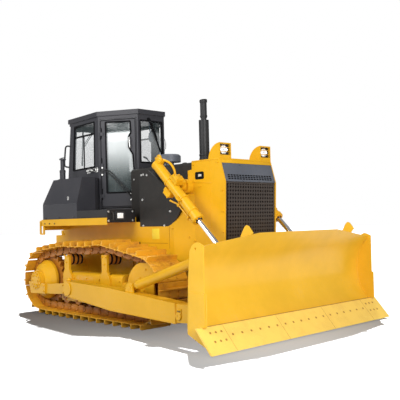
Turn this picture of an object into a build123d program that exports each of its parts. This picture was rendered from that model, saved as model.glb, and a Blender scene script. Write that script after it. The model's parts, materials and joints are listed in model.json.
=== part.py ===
"""Crawler bulldozer with a straight tilting blade, 5.48 m long.

Frame: +X forward, +Y to the machine's left, +Z up, millimetres.
The origin is on the ground, under the middle of the machine's box.
Right-hand pieces lie at negative Y and are mirrored to the left.
"""

from build123d import *
from math import acos, atan2, cos, hypot, pi, radians, sin
import os

os.makedirs("parts", exist_ok=True)

# Overall sizes
X_REAR = -2745
X_EDGE = 2730
BLADE_HALF = 1862

# Crawler tracks
GAUGE_HALF = 1000
SHOE_HALF = 280
SHOE_COUNT = 38
GROUSER = 72
SHOE_PLATE = 13
PIN_TO_SHOE = 60
PIN_TO_RAIL = 65
RAIL_IN, RAIL_OUT = 64, 112
Z_PIN = GROUSER + SHOE_PLATE + PIN_TO_SHOE
Z_RAIL = Z_PIN + PIN_TO_RAIL
R_SPROCKET = 433
SPROCKET = (-2165, Z_PIN + R_SPROCKET)
IDLER = (628, 560)
R_IDLER = 415
CARRIER_PINS = ((-352, 1141), (-1440, 1108))
CARRIER_SAG = 24
R_CARRIER = 92
ROLLER_X = (-1540, -1192, -844, -496, -148, 200)
R_ROLLER = 105
GROUSER_X = 448
GROUSER_AT = 0.69

# Running gear beside the track
FRAME_Y = (872, 1128)
POST_Y = (1122, 1162)
GUARD_Y = (1136, 1160)
R_GUARD = 400
HUB_Y = 1290
BEAM_Y = (1304, 1330)

# Push arms and blade
PIVOT = (-872, 520)
R_PIVOT = 75
ARM_Y = (1310, 1500)
ARM_REAR, ARM_FRONT = -967, 1688
PLATE_Y = (1744, 1762)
Z_EDGE, Z_EDGE_TOP = 20, 298
EDGE_SLOPE, EDGE_DEPTH = 0.892, 30
MOLD_CENTRE = (2878, 742)
R_MOLD = 622
MOLD_SKIN = 22
Z_MOLD_TANGENT = 1120
MOLD_SINE = (Z_MOLD_TANGENT - MOLD_CENTRE[1]) / R_MOLD
Z_MOLD_END = 1231
Z_MOLD_TOP = 1366
MOLD_TOP_HALF = 809
X_BLADE_BACK = 2212
FIN_Y = (-1225, 962)
STRUT_Y = 1405
STRUT_FOOT = (693, 632)
STRUT_HEAD = (2190, 1078)

# Lift cylinders
CYL_Y = 840
TRUNNION = (941, 2038)
ROD_EYE = (2150, 895)
CYL_ANGLE = atan2(ROD_EYE[1] - TRUNNION[1], ROD_EYE[0] - TRUNNION[0])
CYL_LENGTH = hypot(ROD_EYE[0] - TRUNNION[0], ROD_EYE[1] - TRUNNION[1])
R_BARREL, R_BORE, R_ROD = 76, 56, 37.5
BARREL_HEAD, BARREL_GLAND = -511, 722
R_TRUNNION = 35
R_YOKE_STEM = 62

# Bodywork
GUARD_HALF = 540
HOOD_HALF = 500
HOOD_REAR = -500
COWL_HALF = 640
LAMP_Y = (308, 540)
DECK_HALF = 1180
DECK_Z = (1505, 1615)
DECK_REAR, DECK_FRONT = -2215, -235
PLATFORM_Z = 1740
TANK_HALF = 1150
TANK_X = (-2212, -1118)

# Cab outline in plan, right side, and its heights
CAB_REAR = (-2222, 575)
CAB_POST = (-1202, 650)
CAB_FRONT = (-572, 285)
CAB_LOWER_X = -1590
CAB_FLOOR_Z = 1745
CAB_SHELF_Z = 2330
CAB_TOP_Z = 3300
ROOF_Z = 3425
WALL = 45
GLASS = 6


def side(y):
    """XZ plane at a distance y to the right of the centre line."""
    return Plane.XZ.offset(y)


def outline(plane, points):
    """Face from the corner points of an outline."""
    with BuildSketch(plane) as face:
        with BuildLine():
            Polyline(*points, close=True)
        make_face()
    return face.sketch


def slab(points, y0, y1, mode=Mode.ADD):
    """Plate from an XZ outline, between two distances to the right."""
    extrude(outline(side(y0), points), amount=y1 - y0, mode=mode)


def plan(points):
    """Closed plan outline from the right side's points, both sides."""
    return points + [(x, -y) for x, y in reversed(points)]


def upright(points, z0, z1, mode=Mode.ADD):
    """Solid from a plan outline between two heights."""
    extrude(outline(Plane.XY.offset(z0), points), amount=z1 - z0, mode=mode)


def rect(x0, z0, x1, z1):
    return [(x0, z0), (x1, z0), (x1, z1), (x0, z1)]


def across(x, z, radius, y0, y1, mode=Mode.ADD):
    """Round bar or hole along Y, between two distances to the right."""
    with BuildSketch(side(y0)) as disc:
        with Locations((x, z)):
            Circle(radius)
    extrude(disc.sketch, amount=y1 - y0, mode=mode)


def turn(x, z, profile):
    """Turned piece on a cross axle: profile of (distance right, radius)."""
    plane = Plane(origin=(x, 0, z), x_dir=(0, -1, 0), z_dir=(-1, 0, 0))
    revolve(outline(plane, profile), axis=Axis((x, 0, z), (0, -1, 0)))


def save(part, name):
    part.label = name
    export_step(part, f"parts/{name}.step")


# ---------------------------------------------------------------- tracks


def tangent_angle(centre, radius, point, turn_sign):
    """Angle on a circle where the tangent through a point touches it."""
    dx, dz = point[0] - centre[0], point[1] - centre[1]
    return atan2(dz, dx) + turn_sign * acos(radius / hypot(dx, dz))


def pin_loop():
    """Closed line of the track pins: bottom, idler, carriers, sprocket."""
    front_pin, rear_pin = CARRIER_PINS
    a_idler = tangent_angle(IDLER, R_IDLER, front_pin, -1)
    a_sprocket = tangent_angle(SPROCKET, R_SPROCKET, rear_pin, 1)
    line = [(SPROCKET[0], Z_PIN)]
    steps = 60
    for i in range(steps + 1):
        a = -pi / 2 + (a_idler + pi / 2) * i / steps
        line.append((IDLER[0] + R_IDLER * cos(a), IDLER[1] + R_IDLER * sin(a)))
    for i in range(steps + 1):
        t = i / steps
        x = front_pin[0] + t * (rear_pin[0] - front_pin[0])
        z = front_pin[1] + t * (rear_pin[1] - front_pin[1])
        line.append((x, z - 4 * CARRIER_SAG * t * (1 - t)))
    for i in range(steps + 1):
        a = a_sprocket + (3 * pi / 2 - a_sprocket) * i / steps
        line.append((SPROCKET[0] + R_SPROCKET * cos(a), SPROCKET[1] + R_SPROCKET * sin(a)))
    return line


def pins():
    """Track pins at equal steps round the loop, a grouser at GROUSER_X."""
    line = pin_loop()
    marks = [0.0]
    for a, b in zip(line, line[1:]):
        marks.append(marks[-1] + hypot(b[0] - a[0], b[1] - a[1]))
    pitch = marks[-1] / SHOE_COUNT
    start = (GROUSER_X - GROUSER_AT * pitch - SPROCKET[0]) % pitch
    found, k = [], 0
    for i in range(SHOE_COUNT):
        s = start + i * pitch
        while marks[k + 1] < s:
            k += 1
        t = (s - marks[k]) / (marks[k + 1] - marks[k])
        a, b = line[k], line[k + 1]
        found.append((a[0] + t * (b[0] - a[0]), a[1] + t * (b[1] - a[1])))
    return found


PINS = pins()


def link_frame(i):
    """Pin i, unit vector to the next pin, and the outward unit vector."""
    a, b = PINS[i], PINS[(i + 1) % SHOE_COUNT]
    pitch = hypot(b[0] - a[0], b[1] - a[1])
    u = ((b[0] - a[0]) / pitch, (b[1] - a[1]) / pitch)
    return a, u, (u[1], -u[0]), pitch


def offset_loop(distance):
    """Closed outline parallel to the links, at a distance outward."""
    points = []
    for i in range(SHOE_COUNT):
        _, _, before, _ = link_frame(i - 1)
        pin, _, after, _ = link_frame(i)
        nx, nz = before[0] + after[0], before[1] + after[1]
        scale = distance * 2 / (nx * nx + nz * nz)
        points.append((pin[0] + nx * scale, pin[1] + nz * scale))
    return points


def shoe_outline(i):
    """Side view of shoe i: the plate and its single grouser."""
    pin, u, out, pitch = link_frame(i)
    inner, top = PIN_TO_SHOE, PIN_TO_SHOE + SHOE_PLATE
    tip = top + GROUSER
    root = GROUSER_AT * pitch
    corners = (  # along the link, outward
        (3, inner), (pitch - 3, inner), (pitch - 3, top), (root + 17, top),
        (root + 8, tip), (root - 8, tip), (root - 15, top), (3, top),
    )
    return [(pin[0] + u[0] * a + out[0] * b, pin[1] + u[1] * a + out[1] * b) for a, b in corners]


with BuildPart() as track_right:
    for y0 in (GAUGE_HALF - RAIL_OUT, GAUGE_HALF + RAIL_IN):
        slab(offset_loop(PIN_TO_SHOE + 4), y0, y0 + RAIL_OUT - RAIL_IN)
    hole = outline(side(0), offset_loop(-PIN_TO_RAIL))
    extrude(hole, amount=2 * GAUGE_HALF, mode=Mode.SUBTRACT)
    for i in range(SHOE_COUNT):
        slab(shoe_outline(i), GAUGE_HALF - SHOE_HALF, GAUGE_HALF + SHOE_HALF)
with BuildPart() as track_left:
    add(track_right.part.mirror(Plane.XZ))


def rail_height(x, reach):
    """Lowest point of the upper rail above a carrier roller."""
    loop = offset_loop(-PIN_TO_RAIL)
    low = 1e9
    for a, b in zip(loop, loop[1:] + loop[:1]):
        for k in range(21):
            px = a[0] + (b[0] - a[0]) * k / 20
            pz = a[1] + (b[1] - a[1]) * k / 20
            if abs(px - x) < reach and pz > IDLER[1]:
                low = min(low, pz + (R_CARRIER - (max(R_CARRIER ** 2 - (px - x) ** 2, 0)) ** 0.5))
    return low


CARRIERS = [(x, rail_height(x, R_CARRIER) - R_CARRIER - 1) for x, _ in CARRIER_PINS]
R_TREAD = (R_IDLER ** 2 - 109 ** 2) ** 0.5 - PIN_TO_RAIL - 1

SPROCKET_TEETH = 25
SPROCKET_WIDTH = 45
R_TOOTH, R_GULLET, R_FLANGE = R_SPROCKET + 24, R_SPROCKET - 36, 285
with BuildPart() as sprockets:
    step = 2 * pi / SPROCKET_TEETH
    tooth = ((-0.33, R_GULLET), (-0.14, R_TOOTH), (0.14, R_TOOTH), (0.33, R_GULLET))
    rim = []
    for i in range(SPROCKET_TEETH):
        for share, radius in tooth:
            a = (i + share) * step
            rim.append((SPROCKET[0] + radius * cos(a), SPROCKET[1] + radius * sin(a)))
    slab(rim, GAUGE_HALF - SPROCKET_WIDTH, GAUGE_HALF + SPROCKET_WIDTH)
    across(*SPROCKET, R_FLANGE, 900, 1100, mode=Mode.SUBTRACT)
    mirror(about=Plane.XZ)

CASE_Y = 450
R_CASE, R_BOSS = 330, 180
with BuildPart() as final_drives:
    plane = Plane(origin=(SPROCKET[0], 0, SPROCKET[1]), x_dir=(0, -1, 0), z_dir=(-1, 0, 0))
    with BuildSketch(plane):
        with BuildLine():
            Polyline((CASE_Y, 0), (CASE_Y, R_CASE), (880, R_CASE), (880, R_FLANGE), (1080, R_FLANGE),
                     (1080, R_CASE), (1125, R_CASE), (1205, 278), (1258, R_BOSS), (HUB_Y, R_BOSS), (HUB_Y, 0),
                     (CASE_Y, 0))
        make_face()
    revolve(axis=Axis((SPROCKET[0], 0, SPROCKET[1]), (0, -1, 0)))
    mirror(about=Plane.XZ)

with BuildPart() as idlers:
    turn(*IDLER, [
        (889, 0), (889, 110), (950, 110), (950, R_TREAD - 45), (888, R_TREAD - 45),
        (888, R_TREAD), (1000 - RAIL_IN, R_TREAD), (1000 - RAIL_IN, R_TREAD + 22),
        (1000 + RAIL_IN, R_TREAD + 22), (1000 + RAIL_IN, R_TREAD), (1112, R_TREAD),
        (1112, R_TREAD - 45), (1050, R_TREAD - 45), (1050, 110), (1111, 110), (1111, 0),
    ])
    mirror(about=Plane.XZ)

with BuildPart() as track_rollers:
    for x in ROLLER_X:
        turn(x, Z_RAIL + R_ROLLER + 0.5, [
            (872, 0), (872, 60), (887, 60), (887, R_ROLLER), (1113, R_ROLLER), (1113, 60), (1128, 60),
            (1128, 0),
        ])
    mirror(about=Plane.XZ)

with BuildPart() as carrier_rollers:
    for x, z in CARRIERS:
        turn(x, z, [
            (900, 0), (900, R_CARRIER), (1112, R_CARRIER), (1112, 45),
            (POST_Y[0], 45), (POST_Y[0], 0),
        ])
    mirror(about=Plane.XZ)

FRAME_TOP, FRAME_BOTTOM = 640, 442
with BuildPart() as track_frames:
    slab([(-1560, FRAME_BOTTOM), (-1595, 560), (-1595, FRAME_TOP), (150, FRAME_TOP), (235, 580),
          (235, FRAME_BOTTOM)], *FRAME_Y)
    beam_top = track_frames.edges().filter_by(Axis.X).group_by(Axis.Z)[-1].sort_by(Axis.Y)[0]
    fillet(beam_top, 70)
    fork = [(100, FRAME_BOTTOM), (100, 600), (160, 630), (700, 630), (740, 590), (740, 480), (700, 455)]
    for y0 in (862, 1118):
        slab(fork, y0, y0 + 20)
    # bearing blocks that carry the idler shaft
    for y0, y1 in ((862, 889), (1111, 1138)):
        slab(rect(540, 470, 716, 650), y0, y1)
    # side walls over the lower rollers, down to their shafts
    for y0, y1 in ((864, 872), (1128, 1136)):
        slab([(-1660, 290), (-1640, 470), (340, 470), (340, 290), (300, 262), (-1630, 262)], y0, y1)
    for x, z in CARRIERS:
        slab([(x - 118, 470), (x - 118, 700), (x - 70, 780), (x - 70, z + 62), (x + 70, z + 62),
              (x + 70, 780), (x + 138, 680), (x + 138, 470)], *POST_Y)
    # rounded cover plate beside the idler
    with BuildSketch(side(GUARD_Y[0])):
        with Locations(IDLER):
            Circle(R_GUARD)
        with Locations((480, 700)):
            Rectangle(742, 500, mode=Mode.INTERSECT)
    extrude(amount=GUARD_Y[1] - GUARD_Y[0])
    mirror(about=Plane.XZ)

with BuildPart() as outer_beams:
    # beam from the hub's bearing cap to the arm trunnion
    # plate from the drive's hub to the arm's pivot, thicker round the hub, and the hub's cap
    slab([(-2428, 550), (-2352, 350), (-1700, 374), (-900, 420), (-820, 470), (-820, 570), (-900, 620),
          (-1348, 566), (-1870, 530)], HUB_Y, BEAM_Y[0])
    slab([(-2428, 550), (-2352, 350), (-1875, 366), (-1875, 530)], *BEAM_Y)
    across(*SPROCKET, 155, HUB_Y, BEAM_Y[1] + 10)
    across(*SPROCKET, 110, BEAM_Y[1] + 10, BEAM_Y[1] + 20)
    across(*PIVOT, R_PIVOT - 0.4, 1136, ARM_Y[1] + 6)
    slab(rect(-1290, 440, -1000, 560), 1136, HUB_Y)
    across(*PIVOT, 104, ARM_Y[1] + 6, ARM_Y[1] + 18)
    mirror(about=Plane.XZ)

# ---------------------------------------------------------------- hull

# inner face of the lower side plates in plan, where they are drawn in to the radiator guard
DRAWN_IN = ((694, -COWL_HALF + 24), (985, -GUARD_HALF))


def drawn_in_y(x):
    """Right-hand distance of the drawn-in plates' inner face at x."""
    (x0, y0), (x1, y1) = DRAWN_IN
    return y0 + (x - x0) * (y1 - y0) / (x1 - x0)


with BuildPart() as main_frame:
    # transmission and steering case between the final drives
    with BuildSketch(Plane.XZ):
        with BuildLine():
            Polyline((-2330, 470), (-2430, 620), (-2430, 980), (-2200, 1300))
            ThreePointArc((-2200, 1300), (-1800, 1420), (-1400, 1440))
            Polyline((-1400, 1440), (-560, 1440), (-560, 470), (-2330, 470))
        make_face()
    extrude(amount=CASE_Y, both=True)
    # tapped holes for a rear attachment
    with BuildSketch(Plane(origin=(-2430, 0, 800), x_dir=(0, -1, 0), z_dir=(-1, 0, 0))):
        with GridLocations(600, 240, 2, 2):
            Circle(12)
    extrude(amount=-60, mode=Mode.SUBTRACT)
    # brackets on the rear of the case, each with a block and a post
    for s in (-1, 1):
        with BuildSketch(Plane.XZ.offset(s * 465)):
            Polygon((-2100, 1120), (-2330, 1187), (-2700, 1187), (-2700, 1330), (-2340, 1330), (-2150, 1290),
                    align=None)
        extrude(amount=35, both=True)
        with BuildSketch(Plane.XZ.offset(s * 555)):
            Polygon((-2700, 1187), (-2350, 1187), (-2350, 1330), (-2700, 1330), align=None)
        extrude(amount=57, both=True)
        with BuildSketch(Plane.XY.offset(1330)):
            with Locations((-2520, s * 556)):
                Circle(42)
        extrude(amount=88)
    # side members under the engine
    for y0 in (-430, 330):
        slab([(-560, 560), (-560, 900), (900, 900), (1500, 860), (1600, 760), (1600, 640), (900, 520)],
             y0, y0 + 100)
    # cross box under the cab, deck and tank
    slab([(-1900, 1400), (-1900, DECK_Z[1]), (-1600, DECK_Z[1]), (-1600, CAB_FLOOR_Z), (-600, CAB_FLOOR_Z),
          (-600, 1400)], -COWL_HALF + 20, COWL_HALF - 20)
    # outriggers that carry the lower side frames, the front one cut to the drawn-in plates
    slab(rect(0, 905, 160, 1000), -COWL_HALF + 24, COWL_HALF - 24)
    upright(plan([(800, drawn_in_y(800)), (960, drawn_in_y(960))]), 905, 1000)
    for x in (0, 800):
        slab(rect(x, 860, x + 160, 905), -430, 430)
    # guard under the engine, turned up at the front
    slab([(-560, 470), (-560, 482), (1250, 482), (1616, 632), (1624, 622), (1252, 470)], -430, 430)
    # equalizer bar resting on both track frames
    slab([(-30, 655), (-60, 560), (-60, 530), (60, 530), (60, 560), (30, 655)], -FRAME_Y[0], FRAME_Y[0])

with BuildPart() as drawbar:
    slab([(-2430, 640), (-2540, 600), (-2700, 600), (X_REAR, 570), (X_REAR, 500), (-2700, 470),
          (-2330, 470), (-2430, 620)], -140, 140)
    with BuildSketch(Plane.XY.offset(470)):
        with Locations((-2660, 0)):
            Circle(30)
    extrude(amount=130, mode=Mode.SUBTRACT)

with BuildPart() as engine_block:
    slab([(-420, 1000), (-420, 1750), (-300, 2150), (700, 2150), (800, 1900), (800, 1000)], -330, 330)

# the guard reaches back far enough to carry the yoke bearings
GUARD_FOOT = (1640, 640)
GUARD_KNEE = (1695, 2070)
GUARD_FRONT = (GUARD_FOOT, GUARD_KNEE, (1619, 2332), (1598, 2405))
with BuildPart() as radiator_guard:
    slab([*GUARD_FRONT, (1017, 2405), (1017, 2280), (930, 2270), (930, 2150), (830, 2120), (830, 1940),
          (1017, 1900), (1017, 640)], -GUARD_HALF, GUARD_HALF)
    slab(rect(800, 600, 1800, 2385), -GUARD_HALF + 18, GUARD_HALF - 18, mode=Mode.SUBTRACT)
    # cross member and shroud that close the front below the grille
    slab([(1600, 640), (1628, 640), (1632, 758), (1600, 758)], -GUARD_HALF + 18, GUARD_HALF - 18)
    # shallow window pressed into each side
    with BuildSketch(side(GUARD_HALF - 7)) as window:
        with Locations((1180, 2183)):
            RectangleRounded(181, 108, 22)
    extrude(window.sketch, amount=8, mode=Mode.SUBTRACT)
    # bearing for the cylinder yoke, open to the outside
    across(*TRUNNION, 104, GUARD_HALF - 1, 640)
    across(*TRUNNION, R_YOKE_STEM + 0.4, GUARD_HALF, 641, mode=Mode.SUBTRACT)
    mirror(about=Plane.XZ)

GRILLE_HALF = GUARD_HALF - 18
GRILLE_LOW, GRILLE_HIGH = 762, 2066
GRILLE_SET_BACK = 31
MESH_PITCH, MESH_BAR = 145, 26


def guard_front_x(z):
    """Front edge of the guard, which leans forward from its foot to its knee."""
    share = (z - GUARD_FOOT[1]) / (GUARD_KNEE[1] - GUARD_FOOT[1])
    return GUARD_FOOT[0] + share * (GUARD_KNEE[0] - GUARD_FOOT[0])


with BuildPart() as grille:
    # lower mesh of crossed bars in a frame, in two layers along the guard's front edge
    run, rise = GUARD_KNEE[0] - GUARD_FOOT[0], GUARD_KNEE[1] - GUARD_FOOT[1]
    tall = (GRILLE_HIGH - GRILLE_LOW) * hypot(run, rise) / rise
    face = Plane(origin=(guard_front_x(GRILLE_LOW) - GRILLE_SET_BACK, 0, GRILLE_LOW), x_dir=(0, 1, 0),
                 z_dir=(rise, 0, -run))
    count = int((2 * GRILLE_HALF + tall) / MESH_PITCH)
    for depth, slope in ((0, 1), (10, -1)):
        with BuildSketch(face.offset(depth)) as mesh:
            for i in range(count + 1):
                shift = i * MESH_PITCH - (2 * GRILLE_HALF + tall) / 2
                with Locations(Location((0, tall / 2 + shift, 0), (0, 0, 45 * slope))):
                    Rectangle(4000, MESH_BAR)
            with Locations((0, tall / 2)):
                Rectangle(2 * GRILLE_HALF, tall, mode=Mode.INTERSECT)
        extrude(mesh.sketch, amount=8)
    with BuildSketch(face) as rim:
        with Locations((0, tall / 2)):
            Rectangle(2 * GRILLE_HALF, tall)
            Rectangle(2 * GRILLE_HALF - 60, tall - 60, mode=Mode.SUBTRACT)
    extrude(rim.sketch, amount=18)
    # upper panel leaning back, with three rows of slots near its foot
    lean = Plane(origin=(1666, 0, 2070), x_dir=(0, 1, 0), z_dir=(262, 0, 76))
    with BuildSketch(lean) as panel:
        with Locations((0, 136)):
            Rectangle(2 * GRILLE_HALF, 262)
        with Locations((0, 66)):
            with GridLocations(60, 27, 16, 3):
                Rectangle(42, 17, mode=Mode.SUBTRACT)
    extrude(panel.sketch, amount=14)

with BuildPart() as headlamps:
    # boxes with a rounded back, a strip below and a deep opening in front
    with BuildSketch(side(LAMP_Y[0])) as box:
        with BuildLine():
            Polyline((1372, 2405), (1600, 2405), (1600, 2622), (1560, 2616))
            ThreePointArc((1560, 2616), (1440, 2552), (1372, 2405))
        make_face()
    extrude(box.sketch, amount=LAMP_Y[1] - LAMP_Y[0])
    slab(rect(1470, 2450, 1601, 2604), LAMP_Y[0] + 14, LAMP_Y[1] - 14, mode=Mode.SUBTRACT)
    # round lamp on the back wall of the opening
    with BuildSketch(Plane.YZ.offset(1465)) as lamp:
        with Locations((-(LAMP_Y[0] + LAMP_Y[1]) / 2, 2527)):
            Circle(66)
    extrude(lamp.sketch, amount=85)
    mirror(about=Plane.XZ)

with BuildPart() as hood:
    with BuildSketch(Plane.YZ.offset(HOOD_REAR)):
        with BuildLine():
            Polyline((-HOOD_HALF, 2190), (-HOOD_HALF, 2330))
            ThreePointArc((-HOOD_HALF, 2330), (-HOOD_HALF + 18, 2380), (-HOOD_HALF + 70, 2398))
            Line((-HOOD_HALF + 70, 2398), (HOOD_HALF - 70, 2398))
            ThreePointArc((HOOD_HALF - 70, 2398), (HOOD_HALF - 18, 2380), (HOOD_HALF, 2330))
            Polyline((HOOD_HALF, 2330), (HOOD_HALF, 2190), (-HOOD_HALF, 2190))
        make_face()
    extrude(amount=1017 - HOOD_REAR)
    # narrow box between the hood and the cab's front wall
    slab(rect(CAB_FRONT[0] + 6, 1760, HOOD_REAR + 5, 2390), -270, 270)

with BuildPart() as engine_side_panels:
    slab([(HOOD_REAR, 1000), (HOOD_REAR, 2190), (1017, 2190), (1017, 1000)], 470, HOOD_HALF)
    mirror(about=Plane.XZ)

COWL_REAR, COWL_FOOT = -107, 1462
COWL_NOSE = ((571, COWL_FOOT), (765, 1570), (880, 1745))
with BuildPart() as cowl_panels:
    # side panel with a round lower front corner, its top cut back along the lift cylinder
    with BuildSketch(side(COWL_HALF - 24)):
        with BuildLine():
            Line((COWL_REAR, COWL_FOOT), COWL_NOSE[0])
            ThreePointArc(*COWL_NOSE)
            Polyline(COWL_NOSE[2], (880, 1920), (540, 2060), (110, 2336), (COWL_REAR, 2336),
                     (COWL_REAR, COWL_FOOT))
        make_face()
    extrude(amount=24)
    # flat sides that join the cowl to the hood
    slab([(COWL_REAR, 2200), (COWL_REAR, 2330), (100, 2330), (200, 2240), (200, 2200)], HOOD_HALF, COWL_HALF - 24)
    mirror(about=Plane.XZ)

with BuildPart() as side_frames:
    # lower side plates: straight under the cowl, then drawn in to the radiator guard
    drawn_in = [(COWL_REAR, -COWL_HALF), (700, -COWL_HALF), (1062, -GUARD_HALF), DRAWN_IN[1],
                DRAWN_IN[0], (COWL_REAR, -COWL_HALF + 24)]
    upright(drawn_in, 850, 1950)
    with BuildSketch(side(GUARD_HALF - 10)) as sides:
        with BuildLine():
            Line((COWL_REAR, COWL_FOOT - 1), (COWL_NOSE[0][0], COWL_FOOT - 1))
            ThreePointArc((COWL_NOSE[0][0], COWL_FOOT - 1), (766, 1569), (881, 1745))
            Polyline((881, 1745), (881, 1925), (1100, 1925), (1100, 900), (300, 900), (COWL_REAR, 1000),
                     (COWL_REAR, COWL_FOOT - 1))
        make_face()
    extrude(sides.sketch, amount=COWL_HALF - GUARD_HALF + 20, mode=Mode.INTERSECT)
    mirror(about=Plane.XZ)

with BuildPart() as exhaust_stack:
    with BuildSketch(Plane.XZ):
        with BuildLine():
            Polyline((0, 2398), (92, 2398), (92, 2415), (78, 2425), (78, 3088), (42, 3096), (42, 3118),
                     (52, 3120), (52, 3360), (60, 3364), (60, 3392), (50, 3396), (0, 3396),
                     close=True)
        make_face()
    revolve(axis=Axis.Z)
exhaust_stack.part = exhaust_stack.part.moved(Location((728, 0, 0)))

with BuildPart() as air_precleaner:
    with BuildSketch(Plane.XZ):
        with BuildLine():
            Polyline((0, 2398), (70, 2398), (70, 2458), (178, 2458), (178, 2552), (152, 2576), (0, 2576),
                     close=True)
        make_face()
    revolve(axis=Axis.Z)
air_precleaner.part = air_precleaner.part.moved(Location((262, -318, 0)))

with BuildPart() as fenders:
    with BuildSketch(Plane.YZ.offset(DECK_REAR)):
        with BuildLine():
            Polyline((-COWL_HALF + 20, 1225), (-COWL_HALF, 1225), (-COWL_HALF, 1603),
                     (-DECK_HALF + 12, 1603), (-DECK_HALF + 12, DECK_Z[0]), (-DECK_HALF, DECK_Z[0]),
                     (-DECK_HALF, DECK_Z[1]), (-COWL_HALF + 20, DECK_Z[1]), close=True)
        make_face()
    extrude(amount=DECK_FRONT - DECK_REAR)
    # the inner wall runs on behind the deck and ends in a round edge
    with BuildSketch(side(COWL_HALF - 20)):
        with BuildLine():
            Line((DECK_REAR - 1, 1603), (-2480, 1603))
            Line((-2480, 1603), (-2480, 1500))
            ThreePointArc((-2480, 1500), (-2395, 1420), (-2310, 1225))
            Line((-2310, 1225), (DECK_REAR + 1, 1225))
            Line((DECK_REAR + 1, 1225), (DECK_REAR - 1, 1603))
        make_face()
    extrude(amount=20)
    slab(rect(DECK_FRONT, 1225, COWL_REAR, 1535), COWL_HALF - 20, COWL_HALF)
    # cross beam under the deck's rear edge
    slab(rect(DECK_REAR, 1432, DECK_REAR + 26, 1603), COWL_HALF - 1, DECK_HALF - 40)
    # bent bar round the rear corner, a step to the tank
    slab([(DECK_REAR, 1600), (-2272, 1600), (-2290, 1580), (-2290, 1372), (-2272, 1352), (-2150, 1352),
          (-2150, DECK_Z[0] + 5), (-2176, DECK_Z[0] + 5), (-2176, 1378), (-2264, 1378), (-2264, 1574),
          (DECK_REAR, 1574)], DECK_HALF - 30, DECK_HALF - 4)
    mirror(about=Plane.XZ)

with BuildPart() as platform:
    slab(rect(TANK_X[1], DECK_Z[1], DECK_FRONT, PLATFORM_Z), COWL_HALF, TANK_HALF)
    slab(rect(DECK_FRONT, 1537, DECK_FRONT + 8, PLATFORM_Z), COWL_HALF, DECK_HALF - 6)
    mirror(about=Plane.XZ)

with BuildPart() as fuel_tank:
    with BuildSketch(Plane.YZ.offset(TANK_X[0])):
        Polygon((-TANK_HALF, DECK_Z[1]), (TANK_HALF, DECK_Z[1]), (TANK_HALF, 1870), (1038, 2300),
                (-1038, 2300), (-TANK_HALF, 1870), align=None)
    extrude(amount=TANK_X[1] - TANK_X[0])
    rear_slope = [(TANK_X[0] - 10, 1900), (TANK_X[0], 1900), (-2029, 2300), (-2029, 2400),
                  (TANK_X[0] - 10, 2400)]
    slab(rear_slope, -TANK_HALF - 10, TANK_HALF + 10, mode=Mode.SUBTRACT)
    slab(rect(CAB_LOWER_X - 12, 1500, -1000, 2400), -COWL_HALF - 20, COWL_HALF + 20, mode=Mode.SUBTRACT)
    # front inner corners cut back for the open doors
    for s in (-1, 1):
        corner = [(-1215, s * (COWL_HALF + 15)), (-1100, s * (COWL_HALF + 15)), (-1100, s * 790), (-1118, s * 790)]
        extrude(outline(Plane.XY.offset(1500), corner), amount=900, mode=Mode.SUBTRACT)

with BuildPart() as filler_pipe:
    with BuildSketch(Plane.XZ):
        with BuildLine():
            Polyline((0, 2300), (50, 2300), (50, 2478), (36, 2486), (36, 2655), (54, 2655), (54, 2680),
                     (0, 2680), close=True)
        make_face()
    revolve(axis=Axis.Z)
filler_pipe.part = filler_pipe.part.moved(Location((-1960, -895, 0)))

# ---------------------------------------------------------------- cab


HEX = [(x, -y) for x, y in (CAB_REAR, CAB_POST, CAB_FRONT)]


def wall_plane(start, end):
    """Vertical plane along a plan edge: u along the edge, v up, normal out."""
    dx, dy = end[0] - start[0], end[1] - start[1]
    return Plane(origin=(*start, 0), x_dir=(dx, dy, 0), z_dir=(dy, -dx, 0)), hypot(dx, dy)


QUARTER, QUARTER_L = wall_plane(HEX[0], HEX[1])
DOOR, DOOR_L = wall_plane(HEX[1], HEX[2])
DOOR_U = (34, DOOR_L - 34)
DOOR_Z = (1790, 3285)
# window corners on each wall: distance along the wall, height
DOOR_PANE = ((147, 2040), (612, 2040), (645, 2400), (632, 2670), (558, 2790), (558, 2975), (602, 3035),
             (590, 3228), (140, 3240))
QUARTER_PANE = ((120, 2488), (885, 2500), (900, 3268), (196, 3268))
FRONT_PANE = ((-235, 2535), (235, 2535), (235, 3240), (-235, 3240))
REAR_PANE = ((-470, 130), (470, 130), (470, 880), (-470, 880))
R_PANE = 38


def pane(plane, corners, depth, thickness, mode=Mode.ADD):
    """Window opening or glass with rounded corners, at a depth in its wall."""
    with BuildSketch(plane.offset(-depth)) as shape:
        with BuildLine():
            Polyline(*corners, close=True)
        make_face()
        fillet(shape.vertices(), R_PANE)
    extrude(shape.sketch, amount=-thickness, mode=mode)


HINGE_Z = (1960, 2480, 3010)
HINGE_U, HINGE_OUT, HINGE_HALF = 30, 12, 60
R_KNUCKLE, R_HINGE_PIN = 11.5, 6


def hinge_round(z, length, radius, mode=Mode.ADD):
    """Pin, knuckle or bore on the door's hinge axis."""
    with BuildSketch(Plane(origin=DOOR.from_local_coords(Vector(HINGE_U, z, HINGE_OUT)))) as ring:
        Circle(radius)
    extrude(ring.sketch, amount=length, mode=mode)


FLOOR_TOP, SHELF_TOP = CAB_FLOOR_Z + 30, CAB_SHELF_Z + 30
# the rear wall leans forward from the shelf to the roof
REAR_FOOT, REAR_HEAD = -2304, -2187
REAR_PLANE = Plane(origin=(REAR_FOOT, 0, SHELF_TOP), x_dir=(0, -1, 0),
                   z_dir=(SHELF_TOP - CAB_TOP_Z, 0, REAR_HEAD - REAR_FOOT))
FRONT_PLANE = Plane(origin=(CAB_FRONT[0], 0, 0), x_dir=(0, 1, 0), z_dir=(1, 0, 0))


def quarter_point(x):
    """Point in plan on the line of the right quarter wall's outer face."""
    slope = (HEX[1][1] - HEX[0][1]) / (HEX[1][0] - HEX[0][0])
    return x, HEX[0][1] + (x - HEX[0][0]) * slope


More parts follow.
